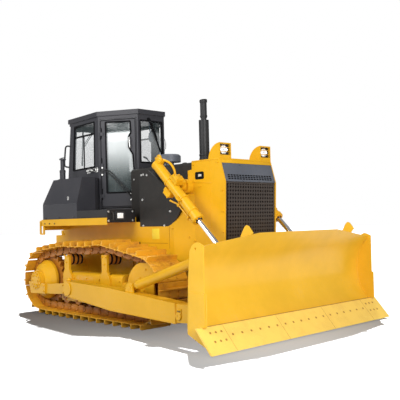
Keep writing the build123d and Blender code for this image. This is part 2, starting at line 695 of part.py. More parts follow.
with BuildPart() as cab_floor:
    upright(plan([(CAB_LOWER_X, -618), *HEX[1:]]), CAB_FLOOR_Z, FLOOR_TOP)
    upright(plan([quarter_point(REAR_FOOT), (CAB_LOWER_X, -618)]), CAB_SHELF_Z, SHELF_TOP)
    upright(plan([(CAB_LOWER_X, -618), (CAB_LOWER_X + 25, -620)]), CAB_FLOOR_Z, SHELF_TOP)

with BuildPart() as cab_rear_panel:
    slab([(REAR_FOOT, SHELF_TOP), (REAR_FOOT + WALL, SHELF_TOP), (REAR_HEAD + WALL, CAB_TOP_Z),
          (REAR_HEAD, CAB_TOP_Z)], -700, 700)
    upright(plan([quarter_point(-2400), quarter_point(-2000)]), SHELF_TOP, CAB_TOP_Z, mode=Mode.INTERSECT)
    pane(REAR_PLANE, REAR_PANE, -1, WALL + 2, mode=Mode.SUBTRACT)

with BuildPart() as cab_quarter_panels:
    foot, head = (x + WALL + 2 - CAB_REAR[0] for x in (REAR_FOOT, REAR_HEAD))
    low = CAB_LOWER_X - CAB_REAR[0] + 30
    quarter = [(foot, SHELF_TOP), (head, CAB_TOP_Z), (QUARTER_L, CAB_TOP_Z), (QUARTER_L, FLOOR_TOP),
               (low, FLOOR_TOP), (low, SHELF_TOP)]
    extrude(outline(QUARTER, quarter), amount=-WALL)
    pane(QUARTER, QUARTER_PANE, -1, WALL + 2, mode=Mode.SUBTRACT)
    # door post with the fixed halves of the hinges and their pins
    extrude(outline(DOOR, rect(2, FLOOR_TOP, DOOR_U[0] - 5, CAB_TOP_Z)), amount=-WALL)
    for z in HINGE_Z:
        hinge_round(z - HINGE_HALF, HINGE_HALF - 1, R_KNUCKLE)
        hinge_round(z - HINGE_HALF, 2 * HINGE_HALF, R_HINGE_PIN)
        extrude(outline(DOOR, rect(6, z - HINGE_HALF, HINGE_U, z - 1)), amount=HINGE_OUT)
    mirror(about=Plane.XZ)

with BuildPart() as cab_front_panel:
    # front pillars return along the door's line as far as the door's free edge
    turned_back = DOOR.from_local_coords(Vector(DOOR_L - 24, 0, 0))
    inner = DOOR.from_local_coords(Vector(DOOR_L - 24, 0, -WALL))
    upright(plan([(CAB_FRONT[0] - WALL, inner.Y), (inner.X, inner.Y), (turned_back.X, turned_back.Y), HEX[2]]),
            FLOOR_TOP, CAB_TOP_Z)
    pane(FRONT_PLANE, FRONT_PANE, -1, WALL + 2, mode=Mode.SUBTRACT)

with BuildPart() as cab_roof:
    rear, post, front = HEX
    lip = [(rear[0] - 22, rear[1] - 18), (post[0], post[1] - 24), (front[0] + 26, front[1] - 8)]
    upright(plan(lip), CAB_TOP_Z + 45, ROOF_Z)
    upright(plan(HEX), CAB_TOP_Z, CAB_TOP_Z + 45)
    # headers over the doors, sunk a little into the roof
    header = outline(DOOR, rect(DOOR_U[0] - 5, DOOR_Z[1] + 6, DOOR_L - 24, CAB_TOP_Z + 5))
    extrude(header, amount=-WALL)
    mirror(about=Plane.XZ)

with BuildPart() as cab_windows:
    pane(REAR_PLANE, REAR_PANE, WALL / 2, GLASS)
    pane(FRONT_PLANE, FRONT_PANE, WALL / 2, GLASS)
    pane(QUARTER, QUARTER_PANE, WALL / 2, GLASS)
    mirror(about=Plane.XZ)

with BuildPart() as door_right:
    extrude(outline(DOOR, rect(DOOR_U[0], DOOR_Z[0], DOOR_U[1], DOOR_Z[1])), amount=-WALL)
    for z in HINGE_Z:
        hinge_round(z + 1, HINGE_HALF - 1, R_KNUCKLE)
        extrude(outline(DOOR, rect(HINGE_U, z + 1, HINGE_U + 62, z + HINGE_HALF)), amount=HINGE_OUT)
        hinge_round(z, HINGE_HALF + 1, R_HINGE_PIN + 0.4, mode=Mode.SUBTRACT)
    pane(DOOR, DOOR_PANE, -1, WALL + 2, mode=Mode.SUBTRACT)
with BuildPart() as door_left:
    add(door_right.part.mirror(Plane.XZ))
with BuildPart() as door_glass_right:
    pane(DOOR, DOOR_PANE, WALL / 2, GLASS)
with BuildPart() as door_glass_left:
    add(door_glass_right.part.mirror(Plane.XZ))

with BuildPart() as seat:
    slab([(-1500, 2080), (-1500, 2230), (-1400, 2260), (-1000, 2260), (-960, 2220), (-960, 2080)], -250, 250)
    slab([(-1500, 2230), (-1400, 2260), (-1470, 2900), (-1560, 2900)], -230, 230)
    slab(rect(-1450, FLOOR_TOP, -1040, 2080), -170, 170)

with BuildPart() as console:
    for y0, y1 in ((-430, -290), (290, 430)):
        slab([(-1480, FLOOR_TOP), (-1480, 2330), (-1050, 2330), (-1010, 2290), (-1010, FLOOR_TOP)], y0, y1)
    slab([(-760, FLOOR_TOP), (-800, 2350), (-780, 2450), (-640, 2480), (-640, FLOOR_TOP)], -200, 200)

# ---------------------------------------------------------------- blade and arms

with BuildPart() as push_arms:
    slab([(ARM_REAR, 405), (ARM_REAR, 640), (268, 596), (ARM_FRONT, 492), (ARM_FRONT, 230), (268, 277)],
         *ARM_Y)
    across(*PIVOT, R_PIVOT, ARM_Y[0] - 1, ARM_Y[1] + 1, mode=Mode.SUBTRACT)
    # clevis block to the blade and its pin
    slab([(ARM_FRONT, 246), (ARM_FRONT, 488), (2212, 470), (2212, 270)], ARM_Y[0] + 18, ARM_Y[1] - 18)
    across(1741, 330, 34, ARM_Y[0] + 6, ARM_Y[1] - 8)
    # lugs and cross pin for the strut's foot
    fx, fz = STRUT_FOOT
    for y in (STRUT_Y - 66, STRUT_Y + 42):
        slab([(fx - 110, 560), (fx - 60, fz + 40), (fx, fz + 66), (fx + 50, fz + 44), (fx + 90, 550)],
             y, y + 24)
    across(fx, fz, 26, STRUT_Y - 72, STRUT_Y + 72)
    mirror(about=Plane.XZ)


def mold_x(z, radius=R_MOLD):
    return MOLD_CENTRE[0] - (radius ** 2 - (z - MOLD_CENTRE[1]) ** 2) ** 0.5


def skin_point(radius, z=None):
    """Where a skin's curve gives way to its straight top, or a point up that straight."""
    low = (MOLD_CENTRE[0] - radius * (1 - MOLD_SINE ** 2) ** 0.5, MOLD_CENTRE[1] + radius * MOLD_SINE)
    if z is None:
        return low
    return low[0] + (z - low[1]) * MOLD_SINE / (1 - MOLD_SINE ** 2) ** 0.5, z


def behind(z):
    """Point inside the blade's skin, where a stiffener is let in."""
    return mold_x(z, R_MOLD + 14), z


def edge_x(z):
    """Back face of the cutting edge."""
    return X_EDGE - EDGE_DEPTH - EDGE_SLOPE * (z - Z_EDGE)


with BuildPart() as blade:
    # skin rolled to one radius up to its straight, tangent top
    foot = (mold_x(272), 272)
    head = skin_point(R_MOLD)
    back = R_MOLD + MOLD_SKIN
    back_foot, back_head = (mold_x(272, back), 272), skin_point(back)
    with BuildSketch(Plane.XZ) as skin:
        with BuildLine():
            ThreePointArc(foot, (mold_x(MOLD_CENTRE[1]), MOLD_CENTRE[1]), head)
            Polyline(head, skin_point(R_MOLD, Z_MOLD_TOP), skin_point(back, Z_MOLD_TOP), back_head)
            ThreePointArc(back_head, (mold_x(MOLD_CENTRE[1], back), MOLD_CENTRE[1]), back_foot)
            Line(back_foot, foot)
        make_face()
    extrude(skin.sketch, amount=PLATE_Y[0], both=True)
    for s in (-1, 1):
        with BuildSketch(Plane.YZ.offset(2400)) as corner:
            Polygon((s * MOLD_TOP_HALF, Z_MOLD_TOP), (s * 1900, Z_MOLD_END - 20), (s * 1900, 1500),
                    (s * MOLD_TOP_HALF, 1500), align=None)
        extrude(corner.sketch, amount=300, mode=Mode.SUBTRACT)
    # foot that carries the cutting edge
    slab([(foot[0] - 4, foot[1] + 8), (edge_x(250), 250), (edge_x(130), 130), (edge_x(130) - 20, 112),
          behind(250), behind(285)], -PLATE_Y[0], PLATE_Y[0])
    # lower box beam, upper stiffener and ribs on the back
    slab([(X_BLADE_BACK, 252), (X_BLADE_BACK, 600), behind(640), behind(520), behind(400), behind(290)],
         -PLATE_Y[0], PLATE_Y[0])
    slab([(2262, 1030), (2290, 1190), behind(1190), behind(1110), behind(1030)], -PLATE_Y[0], PLATE_Y[0])
    for y in (-1240, -420, 0, 420, 1240):
        slab([(X_BLADE_BACK, 590), (2262, 1040), behind(1050), behind(900), behind(742), behind(620)],
             y - 10, y + 10)
    # ears for the lift rods
    ex, ez = ROD_EYE
    for centre in (-CYL_Y, CYL_Y):
        for y in (centre - 62, centre + 38):
            slab([(ex - 62, ez - 20), (ex - 62, ez + 30), (ex - 10, ez + 66), (2270, 1050), behind(1060),
                  behind(900), behind(742), behind(590), (X_BLADE_BACK, 590), (ex - 20, ez - 66)], y, y + 24)
    # fins on the top edge
    for y in FIN_Y:
        slab([(2372, 1200), (2372, 1330), (2440, 1440), (2470, 1462), (2500, 1450), (2570, 1366),
              (2545, 1338), (2518, 1305)], y - 13, y + 13)
    # lugs for the two struts, a pair of plates round each head
    for centre in (-STRUT_Y, STRUT_Y):
        for y in (centre - 62, centre + 38):
            slab([(STRUT_HEAD[0] - 55, STRUT_HEAD[1] - 60), (STRUT_HEAD[0] - 60, STRUT_HEAD[1] + 10),
                  (STRUT_HEAD[0] - 20, STRUT_HEAD[1] + 60), (2290, 1160), behind(1150), behind(1060),
                  behind(960), (2250, 960)], y, y + 24)

with BuildPart() as end_plates:
    slab([(2218, 197), (2214, 288), (2250, 877), (2284, 1182), (2330, 1250), (2400, 1284), (2440, 1278),
          (2515, 1245), (2511, 700), (2540, 690), (2540, Z_EDGE_TOP + 1), (edge_x(299), 299),
          (edge_x(88), 88), (2509, 73)], *PLATE_Y)
    across(2385, 1205, 18, PLATE_Y[0] - 1, PLATE_Y[1] + 1, mode=Mode.SUBTRACT)
    slab([(2240, 240), (2270, 690), (2530, 690), (2530, 299), (edge_x(299), 299), (edge_x(120), 120),
          (2480, 130)], PLATE_Y[1], PLATE_Y[1] + 14)
    mirror(about=Plane.XZ)

with BuildPart() as cutting_edge:
    # three bolt-on segments between two end bits, all on one slope
    segment = [(X_EDGE, Z_EDGE), (edge_x(Z_EDGE), Z_EDGE), (edge_x(Z_EDGE_TOP), Z_EDGE_TOP),
               (edge_x(Z_EDGE_TOP) + EDGE_DEPTH, Z_EDGE_TOP)]
    for y0, y1 in ((-1446, -484), (-482, 482), (484, 1446)):
        slab(segment, y0, y1)
    slab(segment, 1448, BLADE_HALF)
    mirror(about=Plane.XZ)

# ---------------------------------------------------------------- cylinders

ROD_START, PISTON = 262, 60


def along(origin, direction, profile):
    """Turned piece on any axis in an XZ plane: profile of (distance, radius)."""
    plane = Plane(origin=origin, x_dir=direction, z_dir=(0, -1, 0))
    revolve(outline(plane, profile), axis=Axis(origin, direction))


ALONG = (cos(CYL_ANGLE), 0, sin(CYL_ANGLE))
NORMAL = (-sin(CYL_ANGLE), 0, cos(CYL_ANGLE))
YOKE_IN, YOKE_OUT, YOKE_WIDE = 80, 138, 78


def yoke():
    """Fork that holds the barrel's pins and turns in the guard's bearing, on the right."""
    plane = Plane(origin=(TRUNNION[0], 0, TRUNNION[1]), x_dir=ALONG, z_dir=(0, -1, 0))
    with BuildPart() as fork:
        across(*TRUNNION, R_YOKE_STEM, GUARD_HALF + 1, CYL_Y - 100)
        with BuildSketch(plane.offset(CYL_Y - 130)) as web:
            RectangleRounded(2 * YOKE_WIDE, 2 * YOKE_OUT, 24)
        extrude(web.sketch, amount=32)
        for v in (-1, 1):
            with BuildSketch(plane.offset(CYL_Y - 130)) as arm:
                with Locations((0, v * (YOKE_IN + YOKE_OUT) / 2)):
                    Rectangle(2 * YOKE_WIDE, YOKE_OUT - YOKE_IN)
            extrude(arm.sketch, amount=130 + 56)
        with BuildSketch(Plane(origin=(TRUNNION[0], -CYL_Y, TRUNNION[1]), x_dir=(0, 1, 0), z_dir=NORMAL)) as bore:
            Circle(R_TRUNNION + 0.4)
        extrude(bore.sketch, amount=2 * YOKE_OUT, both=True, mode=Mode.SUBTRACT)
    return fork.part


def lift_barrel():
    """Bored barrel with its head, gland and yoke pins, on the right."""
    origin = (TRUNNION[0], -CYL_Y, TRUNNION[1])
    with BuildPart() as barrel:
        along(origin, ALONG, [
            (BARREL_HEAD, 0), (BARREL_HEAD, 70), (BARREL_HEAD + 12, 82), (BARREL_HEAD + 46, 82),
            (BARREL_HEAD + 50, R_BARREL), (BARREL_GLAND - 70, R_BARREL), (BARREL_GLAND - 66, 88),
            (BARREL_GLAND - 8, 88), (BARREL_GLAND, 80), (BARREL_GLAND, R_ROD + 0.4),
            (BARREL_GLAND - 50, R_ROD + 0.4), (BARREL_GLAND - 50, R_BORE), (BARREL_HEAD + 40, R_BORE),
            (BARREL_HEAD + 40, 0),
        ])
        # short pins above and below, carried by the yoke
        for away in (-1, 1):
            with BuildSketch(Plane(origin=origin, x_dir=(0, 1, 0), z_dir=NORMAL).offset(away * (R_BORE + 8))) as pin:
                Circle(R_TRUNNION)
            extrude(pin.sketch, amount=away * (YOKE_OUT - R_BORE - 12))
    return barrel.part


def lift_rod():
    """Rod with its piston and eye, on the right."""
    origin = (TRUNNION[0], -CYL_Y, TRUNNION[1])
    with BuildPart() as rod:
        along(origin, ALONG, [
            (ROD_START, 0), (ROD_START, R_BORE - 0.4), (ROD_START + PISTON, R_BORE - 0.4),
            (ROD_START + PISTON, R_ROD), (CYL_LENGTH - 20, R_ROD), (CYL_LENGTH - 20, 0),
        ])
        across(*ROD_EYE, 60, CYL_Y - 34, CYL_Y + 34)
        across(*ROD_EYE, 30, CYL_Y - 37, CYL_Y + 37)
    return rod.part


barrel_part, rod_part, yoke_part = lift_barrel(), lift_rod(), yoke()
save(barrel_part, "lift_barrel_right")
save(rod_part, "lift_rod_right")
save(barrel_part.mirror(Plane.XZ), "lift_barrel_left")
save(rod_part.mirror(Plane.XZ), "lift_rod_left")
save(yoke_part, "yoke_right")
save(yoke_part.mirror(Plane.XZ), "yoke_left")

STRUT_RUN = hypot(STRUT_HEAD[0] - STRUT_FOOT[0], STRUT_HEAD[1] - STRUT_FOOT[1])
STRUT_AIM = ((STRUT_HEAD[0] - STRUT_FOOT[0]) / STRUT_RUN, 0, (STRUT_HEAD[1] - STRUT_FOOT[1]) / STRUT_RUN)


def strut_eyes(y):
    """Eyes at both ends of a strut, the lower one bored for its pin."""
    for x, z in (STRUT_FOOT, STRUT_HEAD):
        across(x, z, 52, y - 34, y + 34)
    across(*STRUT_FOOT, 26.4, y - 35, y + 35, mode=Mode.SUBTRACT)
    across(*STRUT_HEAD, 27, y - 37.5, y + 37.5)


with BuildPart() as brace:
    along((STRUT_FOOT[0], -STRUT_Y, STRUT_FOOT[1]), STRUT_AIM, [
        (40, 0), (40, 34), (110, 36), (170, 68), (STRUT_RUN - 150, 68), (STRUT_RUN - 96, 34),
        (STRUT_RUN - 30, 34), (STRUT_RUN - 30, 0),
    ])
    strut_eyes(STRUT_Y)

with BuildPart() as tilt_cylinder:
    along((STRUT_FOOT[0], STRUT_Y, STRUT_FOOT[1]), STRUT_AIM, [
        (40, 0), (40, 34), (118, 34), (118, 78), (146, 78), (150, 72), (850, 72), (854, 84), (910, 84),
        (916, 76), (916, 34), (STRUT_RUN - 30, 34), (STRUT_RUN - 30, 0),
    ])
    strut_eyes(-STRUT_Y)

for name, piece in {
    "track_right": track_right, "track_left": track_left, "sprockets": sprockets,
    "final_drives": final_drives, "idlers": idlers, "track_rollers": track_rollers,
    "carrier_rollers": carrier_rollers, "track_frames": track_frames, "outer_beams": outer_beams,
    "main_frame": main_frame, "drawbar": drawbar, "engine_block": engine_block,
    "radiator_guard": radiator_guard, "grille": grille, "headlamps": headlamps, "hood": hood,
    "engine_side_panels": engine_side_panels, "cowl_panels": cowl_panels, "side_frames": side_frames,
    "exhaust_stack": exhaust_stack, "air_precleaner": air_precleaner,
    "fenders": fenders, "platform": platform,
    "fuel_tank": fuel_tank, "filler_pipe": filler_pipe, "cab_floor": cab_floor,
    "cab_rear_panel": cab_rear_panel, "cab_quarter_panels": cab_quarter_panels,
    "cab_front_panel": cab_front_panel, "cab_roof": cab_roof, "cab_windows": cab_windows,
    "door_right": door_right, "door_left": door_left, "door_glass_right": door_glass_right,
    "door_glass_left": door_glass_left, "seat": seat, "console": console, "push_arms": push_arms,
    "blade": blade, "end_plates": end_plates, "cutting_edge": cutting_edge, "brace": brace,
    "tilt_cylinder": tilt_cylinder,
}.items():
    save(piece.part, name)
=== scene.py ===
"""Looks for the crawler bulldozer: finishes, fasteners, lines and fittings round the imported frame.

Metres, +X forward to the blade, +Y to the machine's left, +Z up, on the ground.
Each fitting is modelled once on the right side and copied to the left where the machine has a pair.
"""
import json
from math import acos, atan2, cos, exp, hypot, pi, radians, sin, sqrt

import bpy
from mathutils import Matrix, Vector

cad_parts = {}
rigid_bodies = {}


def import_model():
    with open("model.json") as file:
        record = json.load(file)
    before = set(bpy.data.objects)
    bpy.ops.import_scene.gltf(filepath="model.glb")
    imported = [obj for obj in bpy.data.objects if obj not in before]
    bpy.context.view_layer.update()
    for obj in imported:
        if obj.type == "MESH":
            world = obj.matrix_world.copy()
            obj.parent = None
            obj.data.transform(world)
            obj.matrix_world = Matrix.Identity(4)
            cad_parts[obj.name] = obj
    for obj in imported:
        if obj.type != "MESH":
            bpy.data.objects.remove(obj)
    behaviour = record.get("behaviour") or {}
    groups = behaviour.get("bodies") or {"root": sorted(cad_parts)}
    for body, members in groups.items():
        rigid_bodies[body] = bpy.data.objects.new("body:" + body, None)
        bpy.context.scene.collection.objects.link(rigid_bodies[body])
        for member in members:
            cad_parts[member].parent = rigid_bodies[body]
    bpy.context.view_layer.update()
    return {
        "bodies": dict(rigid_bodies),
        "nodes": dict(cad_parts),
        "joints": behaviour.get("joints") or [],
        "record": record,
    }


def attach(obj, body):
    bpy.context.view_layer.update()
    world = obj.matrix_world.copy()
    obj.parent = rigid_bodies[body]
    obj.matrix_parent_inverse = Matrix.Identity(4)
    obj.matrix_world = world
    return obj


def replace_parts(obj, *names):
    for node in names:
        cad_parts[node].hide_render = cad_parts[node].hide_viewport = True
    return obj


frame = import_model()
NODES = frame["nodes"]
MM = 0.001
RIGHT, UP, AHEAD = (0, -1, 0), (0, 0, 1), (1, 0, 0)

# ------------------------------------------------------------------ finishes


class Wire:
    """A shader socket; arithmetic on wires adds the Math nodes it needs."""

    def __init__(self, finish, socket):
        self.finish, self.socket = finish, socket

    def math(self, operation, *values):
        return self.finish.node("ShaderNodeMath", {"operation": operation}, dict(enumerate(values)))

    def __add__(self, other):
        return self.math("ADD", self, other)

    def __rsub__(self, other):
        return self.math("SUBTRACT", other, self)

    def __mul__(self, other):
        return self.math("MULTIPLY", self, other)

    __radd__, __rmul__ = __add__, __mul__


class Finish:
    """A material under construction, with one method that adds any node."""

    def __init__(self, name):
        self.material = bpy.data.materials.new(name)
        self.material.use_nodes = True
        self.tree = self.material.node_tree
        self.shader = self.tree.nodes["Principled BSDF"]

    def node(self, kind, settings=None, inputs=None, outlet=0):
        made = self.tree.nodes.new(kind)
        for key, value in (settings or {}).items():
            if key == "stops":
                ramp = made.color_ramp
                while len(ramp.elements) < len(value):
                    ramp.elements.new(0.5)
                for stop, (place, colour) in zip(ramp.elements, value):
                    stop.position, stop.color = place, (*colour, 1)
            else:
                setattr(made, key, value)
        for key, value in (inputs or {}).items():
            self.feed(made.inputs[key], value)
        return Wire(self, made.outputs[outlet])

    def feed(self, socket, value):
        if isinstance(value, Wire):
            self.tree.links.new(value.socket, socket)
        elif isinstance(value, tuple) and len(value) == 3 and socket.type == "RGBA":
            socket.default_value = (*value, 1)
        else:
            socket.default_value = value

    def set(self, **values):
        for key, value in values.items():
            self.feed(self.shader.inputs[key.replace("_", " ")], value)
        return self

    # patterns read in metres on the piece itself
    def place(self):
        return self.node("ShaderNodeTexCoord", outlet="Object")

    def noise(self, scale, detail=4.0, roughness=0.55, at=None):
        return self.node("ShaderNodeTexNoise", {}, {
            "Vector": at or self.place(), "Scale": scale, "Detail": detail, "Roughness": roughness})

    def cells(self, scale, at=None):
        return self.node("ShaderNodeTexVoronoi", {}, {"Vector": at or self.place(), "Scale": scale})

    def stretch(self, scale):
        return self.node("ShaderNodeMapping", {}, {"Vector": self.place(), "Scale": scale})

    def height(self, axis="Z"):
        return self.node("ShaderNodeSeparateXYZ", {}, {"Vector": self.place()}, outlet=axis)

    def ramp(self, value, low, high):
        """0 below low, 1 above high, smooth between."""
        return self.node("ShaderNodeMapRange", {"interpolation_type": "SMOOTHSTEP"}, {
            "Value": value, "From Min": low, "From Max": high})

    def blend(self, share, a, b):
        """Colour a where share is 0 and b where it is 1."""
        return self.node("ShaderNodeMix", {"data_type": "RGBA"}, {0: share, 6: a, 7: b}, outlet=2)

    def bump(self, height, distance, strength=1.0):
        return self.node("ShaderNodeBump", {}, {
            "Height": height, "Distance": distance, "Strength": strength})


def painted(name, colour, dusty, roughness=0.34, orange_peel=0.0004, dirt=0.5, coat=0.05, low=1.1):
    """Sprayed paint: slight patchiness, orange peel, and dust that thins out with height."""
    f = Finish(name)
    patch = f.noise(2.3, 5.0)
    fine = f.noise(34.0, 6.0, 0.65)
    speck = f.noise(220.0, 3.0, 0.6)
    peel = f.noise(310.0, 2.0)
    near_ground = 1 - f.ramp(f.height(), 0.05, low)
    dust = f.ramp(patch * 0.55 + fine * 0.45, 0.47, 0.72) * (near_ground * 0.75 + 0.25) * dirt
    shade = f.ramp(patch, 0.25, 0.8)
    darker = tuple(c * 0.86 for c in colour)
    base = f.blend(shade, darker, colour)
    base = f.blend(dust, base, dusty)
    f.set(Base_Color=base, Roughness=dust * 0.35 + fine * 0.10 + (roughness - 0.05),
          Coat_Weight=coat, Coat_Roughness=0.12, Specular_IOR_Level=0.22,
          Normal=f.bump(peel * 0.6 + speck * 0.4, orange_peel))
    return f.material


def cast_paint(name, colour, grime, bare):
    """Paint over cast track steel: rough skin, grime in patches, bright rubbed spots."""
    f = Finish(name)
    patch = f.noise(4.0, 6.0, 0.6)
    grain = f.noise(90.0, 5.0, 0.7)
    pits = f.cells(160.0)
    soiled = f.ramp(patch * 0.6 + grain * 0.4, 0.44, 0.66)
    rubbed = f.ramp(f.noise(19.0, 5.0, 0.6), 0.62, 0.72)
    base = f.blend(soiled, colour, grime)
    base = f.blend(rubbed * 0.35, base, bare)
    f.set(Base_Color=base, Roughness=soiled * 0.25 + 0.42, Specular_IOR_Level=0.4,
          Normal=f.bump(grain * 0.7 + pits * 0.3, 0.0012))
    return f.material


def bare_metal(name, colour, roughness, grain_scale=(8.0, 8.0, 260.0), bump=0.0001):
    """Machined or plated metal with fine turning marks and a little staining."""
    f = Finish(name)
    lines = f.noise(1.0, 3.0, 0.5, at=f.stretch(grain_scale))
    stain = f.ramp(f.noise(14.0, 5.0), 0.45, 0.8)
    dull = tuple(c * 0.8 for c in colour)
    f.set(Base_Color=f.blend(stain * 0.6, colour, dull), Metallic=1.0,
          Roughness=lines * 0.08 + stain * 0.08 + roughness, Normal=f.bump(lines, bump))
    return f.material


def rubbery(name, colour, roughness=0.6, grain=260.0, shine=0.5):
    """Hose, gasket and moulded plastic skins."""
    f = Finish(name)
    skin = f.noise(grain, 3.0, 0.6)
    haze = f.ramp(f.noise(7.0, 4.0), 0.4, 0.8)
    pale = tuple(c * 1.6 + 0.01 for c in colour)
    f.set(Base_Color=f.blend(haze * 0.5, colour, pale), Roughness=haze * 0.15 + roughness,
          Specular_IOR_Level=shine, Normal=f.bump(skin, 0.0003))
    return f.material


def woven(name, colour, thread):
    """Seat cloth: crossed threads with a soft nap."""
    f = Finish(name)
    warp = f.node("ShaderNodeTexWave", {"wave_profile": "SIN", "bands_direction": "Y"},
                  {"Vector": f.place(), "Scale": thread, "Distortion": 0.4})
    weft = f.node("ShaderNodeTexWave", {"wave_profile": "SIN", "bands_direction": "X"},
                  {"Vector": f.place(), "Scale": thread, "Distortion": 0.4})
    nap = f.noise(60.0, 4.0)
    pale = tuple(c * 1.9 + 0.01 for c in colour)
    f.set(Base_Color=f.blend(warp * weft * 0.6 + nap * 0.3, colour, pale), Roughness=0.85,
          Sheen_Weight=0.4, Normal=f.bump(warp + weft, 0.0006))
    return f.material


def window_glass(name, tint, pale, haze, body=0.14):
    """Tinted safety glass with a painted reflection: a pale, less clear band that grows with height and stops short of
    the roof.
    """
    f = Finish(name)
    film = f.ramp(f.noise(2.0, 1.0), 0.3, 0.8)
    # painted reflection: paler and less clear from 2.10 m up, fully from 2.95 m, and none above 3.085 m
    painted_reflection_band = f.ramp(f.height(), 2.10, 2.95) * (1 - f.ramp(f.height(), 3.035, 3.085))
    f.set(Base_Color=f.blend(painted_reflection_band, tint, pale), Roughness=film * 0.02 + 0.02, Specular_IOR_Level=0.5,
          IOR=1.45, Alpha=film * 0.03 + painted_reflection_band * haze + body)
    return f.material


def lamp_glass(name, colour, glow):
    """Moulded lens with fine flutes."""
    f = Finish(name)
    flutes = f.node("ShaderNodeTexWave", {"bands_direction": "Y"}, {"Vector": f.place(), "Scale": 55.0})
    f.set(Base_Color=f.blend(flutes, colour, tuple(c * 0.8 for c in colour)), Roughness=0.08,
          Emission_Color=colour, Emission_Strength=glow, Coat_Weight=1.0,
          Normal=f.bump(flutes, 0.0015))
    return f.material


YELLOW = (0.80, 0.42, 0.010)
DUST = (0.52, 0.36, 0.16)
PAINT = painted("machine_yellow", YELLOW, DUST, dirt=0.30)
# paler and bluer than the machine's yellow: yellow paint with the floor's glare painted in
BLADE_PAINT_AND_GLARE = painted("blade_yellow_and_painted_glare", (0.86, 0.49, 0.03), DUST, roughness=0.30, dirt=0.30)
CHARCOAL = painted("cab_charcoal", (0.043, 0.043, 0.050), (0.16, 0.14, 0.12), roughness=0.38, dirt=0.30)
PANEL_BLACK = painted("panel_black", (0.026, 0.024, 0.022), (0.13, 0.11, 0.09), roughness=0.42, dirt=0.45)
SLATE = painted("grille_slate", (0.115, 0.125, 0.150), (0.25, 0.24, 0.22), roughness=0.45, dirt=0.3)
MESH_BLACK = painted("grille_black", (0.050, 0.040, 0.034), (0.16, 0.12, 0.08), roughness=0.5, dirt=0.4)
TRACK = cast_paint("track_yellow", (0.76, 0.38, 0.02), (0.50, 0.22, 0.025), (0.80, 0.55, 0.16))
# darker, redder copy of the track yellow for the parts inside the track loop: painted shade; the grime patches are
# dirt
TRACK_SHADE_AND_GRIME = cast_paint("chain_yellow_shade_and_grime", (0.50, 0.19, 0.015), (0.24, 0.075, 0.012), (0.66, 0.36, 0.07))
# pale colours throughout: yellow paint with the floor's glare painted in
EDGE_PAINT_AND_GLARE = cast_paint("edge_yellow_and_painted_glare", (0.96, 0.64, 0.12), (0.86, 0.55, 0.11), (0.95, 0.74, 0.30))
EDGE_BOLT = cast_paint("edge_bolt", (0.46, 0.24, 0.04), (0.36, 0.18, 0.03), (0.60, 0.38, 0.10))
IRON = cast_paint("block_iron", (0.10, 0.10, 0.10), (0.05, 0.045, 0.04), (0.22, 0.21, 0.20))
CHROME = bare_metal("rod_chrome", (0.86, 0.86, 0.88), 0.08)
ZINC = bare_metal("bolt_zinc", (0.72, 0.72, 0.70), 0.30, (60.0, 60.0, 60.0))
RUBBER = rubbery("rubber_black", (0.014, 0.014, 0.015), 0.62)
GASKET = rubbery("gasket_black", (0.004, 0.004, 0.005), 0.7, shine=0.1)
PLASTIC = rubbery("console_plastic", (0.045, 0.045, 0.050), 0.55, 180.0)
CLOTH = woven("woven_cloth", (0.030, 0.030, 0.036), 260.0)
# the haze share is the strength of the painted reflection; on the right door it reads almost white
CAB_GLASS_WITH_REFLECTION = window_glass("cab_glass", (0.20, 0.25, 0.25), (0.72, 0.76, 0.77), 0.12, 0.07)
DOOR_GLASS_WITH_REFLECTION = window_glass("door_glass", (0.20, 0.25, 0.25), (0.80, 0.84, 0.84), 0.66)
STACK_BLACK = painted("stack_black", (0.022, 0.022, 0.023), (0.10, 0.09, 0.08), roughness=0.45, dirt=0.3)
LENS = lamp_glass("lamp_lens", (0.95, 0.95, 0.92), 0.35)
BOLT_DARK = bare_metal("bolt_dark", (0.20, 0.15, 0.08), 0.45, (60.0, 60.0, 60.0))
ZINC_DARK = bare_metal("clamp_steel", (0.30, 0.30, 0.31), 0.35, (60.0, 60.0, 60.0))
# the cooler block is near-black with a red-brown cast all over
CORE = painted("core_near_black", (0.020, 0.009, 0.006), (0.03, 0.018, 0.012), roughness=0.6, dirt=0.8, coat=0.0,
               low=4.0)
PAINT_DARK = painted("seam_shade", (0.30, 0.13, 0.008), (0.20, 0.10, 0.02), roughness=0.6, dirt=0.6, coat=0.0)
PLATE_YELLOW = painted("blank_yellow_plate", (0.88, 0.66, 0.05), (0.60, 0.45, 0.12), roughness=0.4, dirt=0.3)
FAN_BLUE = rubbery("fan_plastic", (0.035, 0.060, 0.090), 0.45, 180.0)
PLATE_WHITE = painted("blank_plate", (0.62, 0.60, 0.52), (0.45, 0.40, 0.32), dirt=0.4)

NODE_FINISHES = (
    (PAINT, "final_drives track_frames outer_beams main_frame drawbar radiator_guard headlamps side_frames "
            "yoke_left yoke_right fenders push_arms brace tilt_cylinder lift_barrel_left lift_barrel_right"),
    (BLADE_PAINT_AND_GLARE, "blade end_plates"), (EDGE_PAINT_AND_GLARE, "cutting_edge"), (TRACK, "track_left track_right"),
    (TRACK_SHADE_AND_GRIME, "sprockets idlers track_rollers carrier_rollers"),
    (PANEL_BLACK, "hood cowl_panels engine_side_panels"), (STACK_BLACK, "platform exhaust_stack"),
    (CHARCOAL, "fuel_tank filler_pipe cab_floor cab_rear_panel cab_quarter_panels cab_front_panel cab_roof "
               "door_left door_right"),
    (SLATE, "air_precleaner"), (MESH_BLACK, "grille"), (IRON, "engine_block"),
    (CHROME, "lift_rod_left lift_rod_right"), (CAB_GLASS_WITH_REFLECTION, "cab_windows door_glass_left"),
    (DOOR_GLASS_WITH_REFLECTION, "door_glass_right"), (CLOTH, "seat"), (PLASTIC, "console"),
)


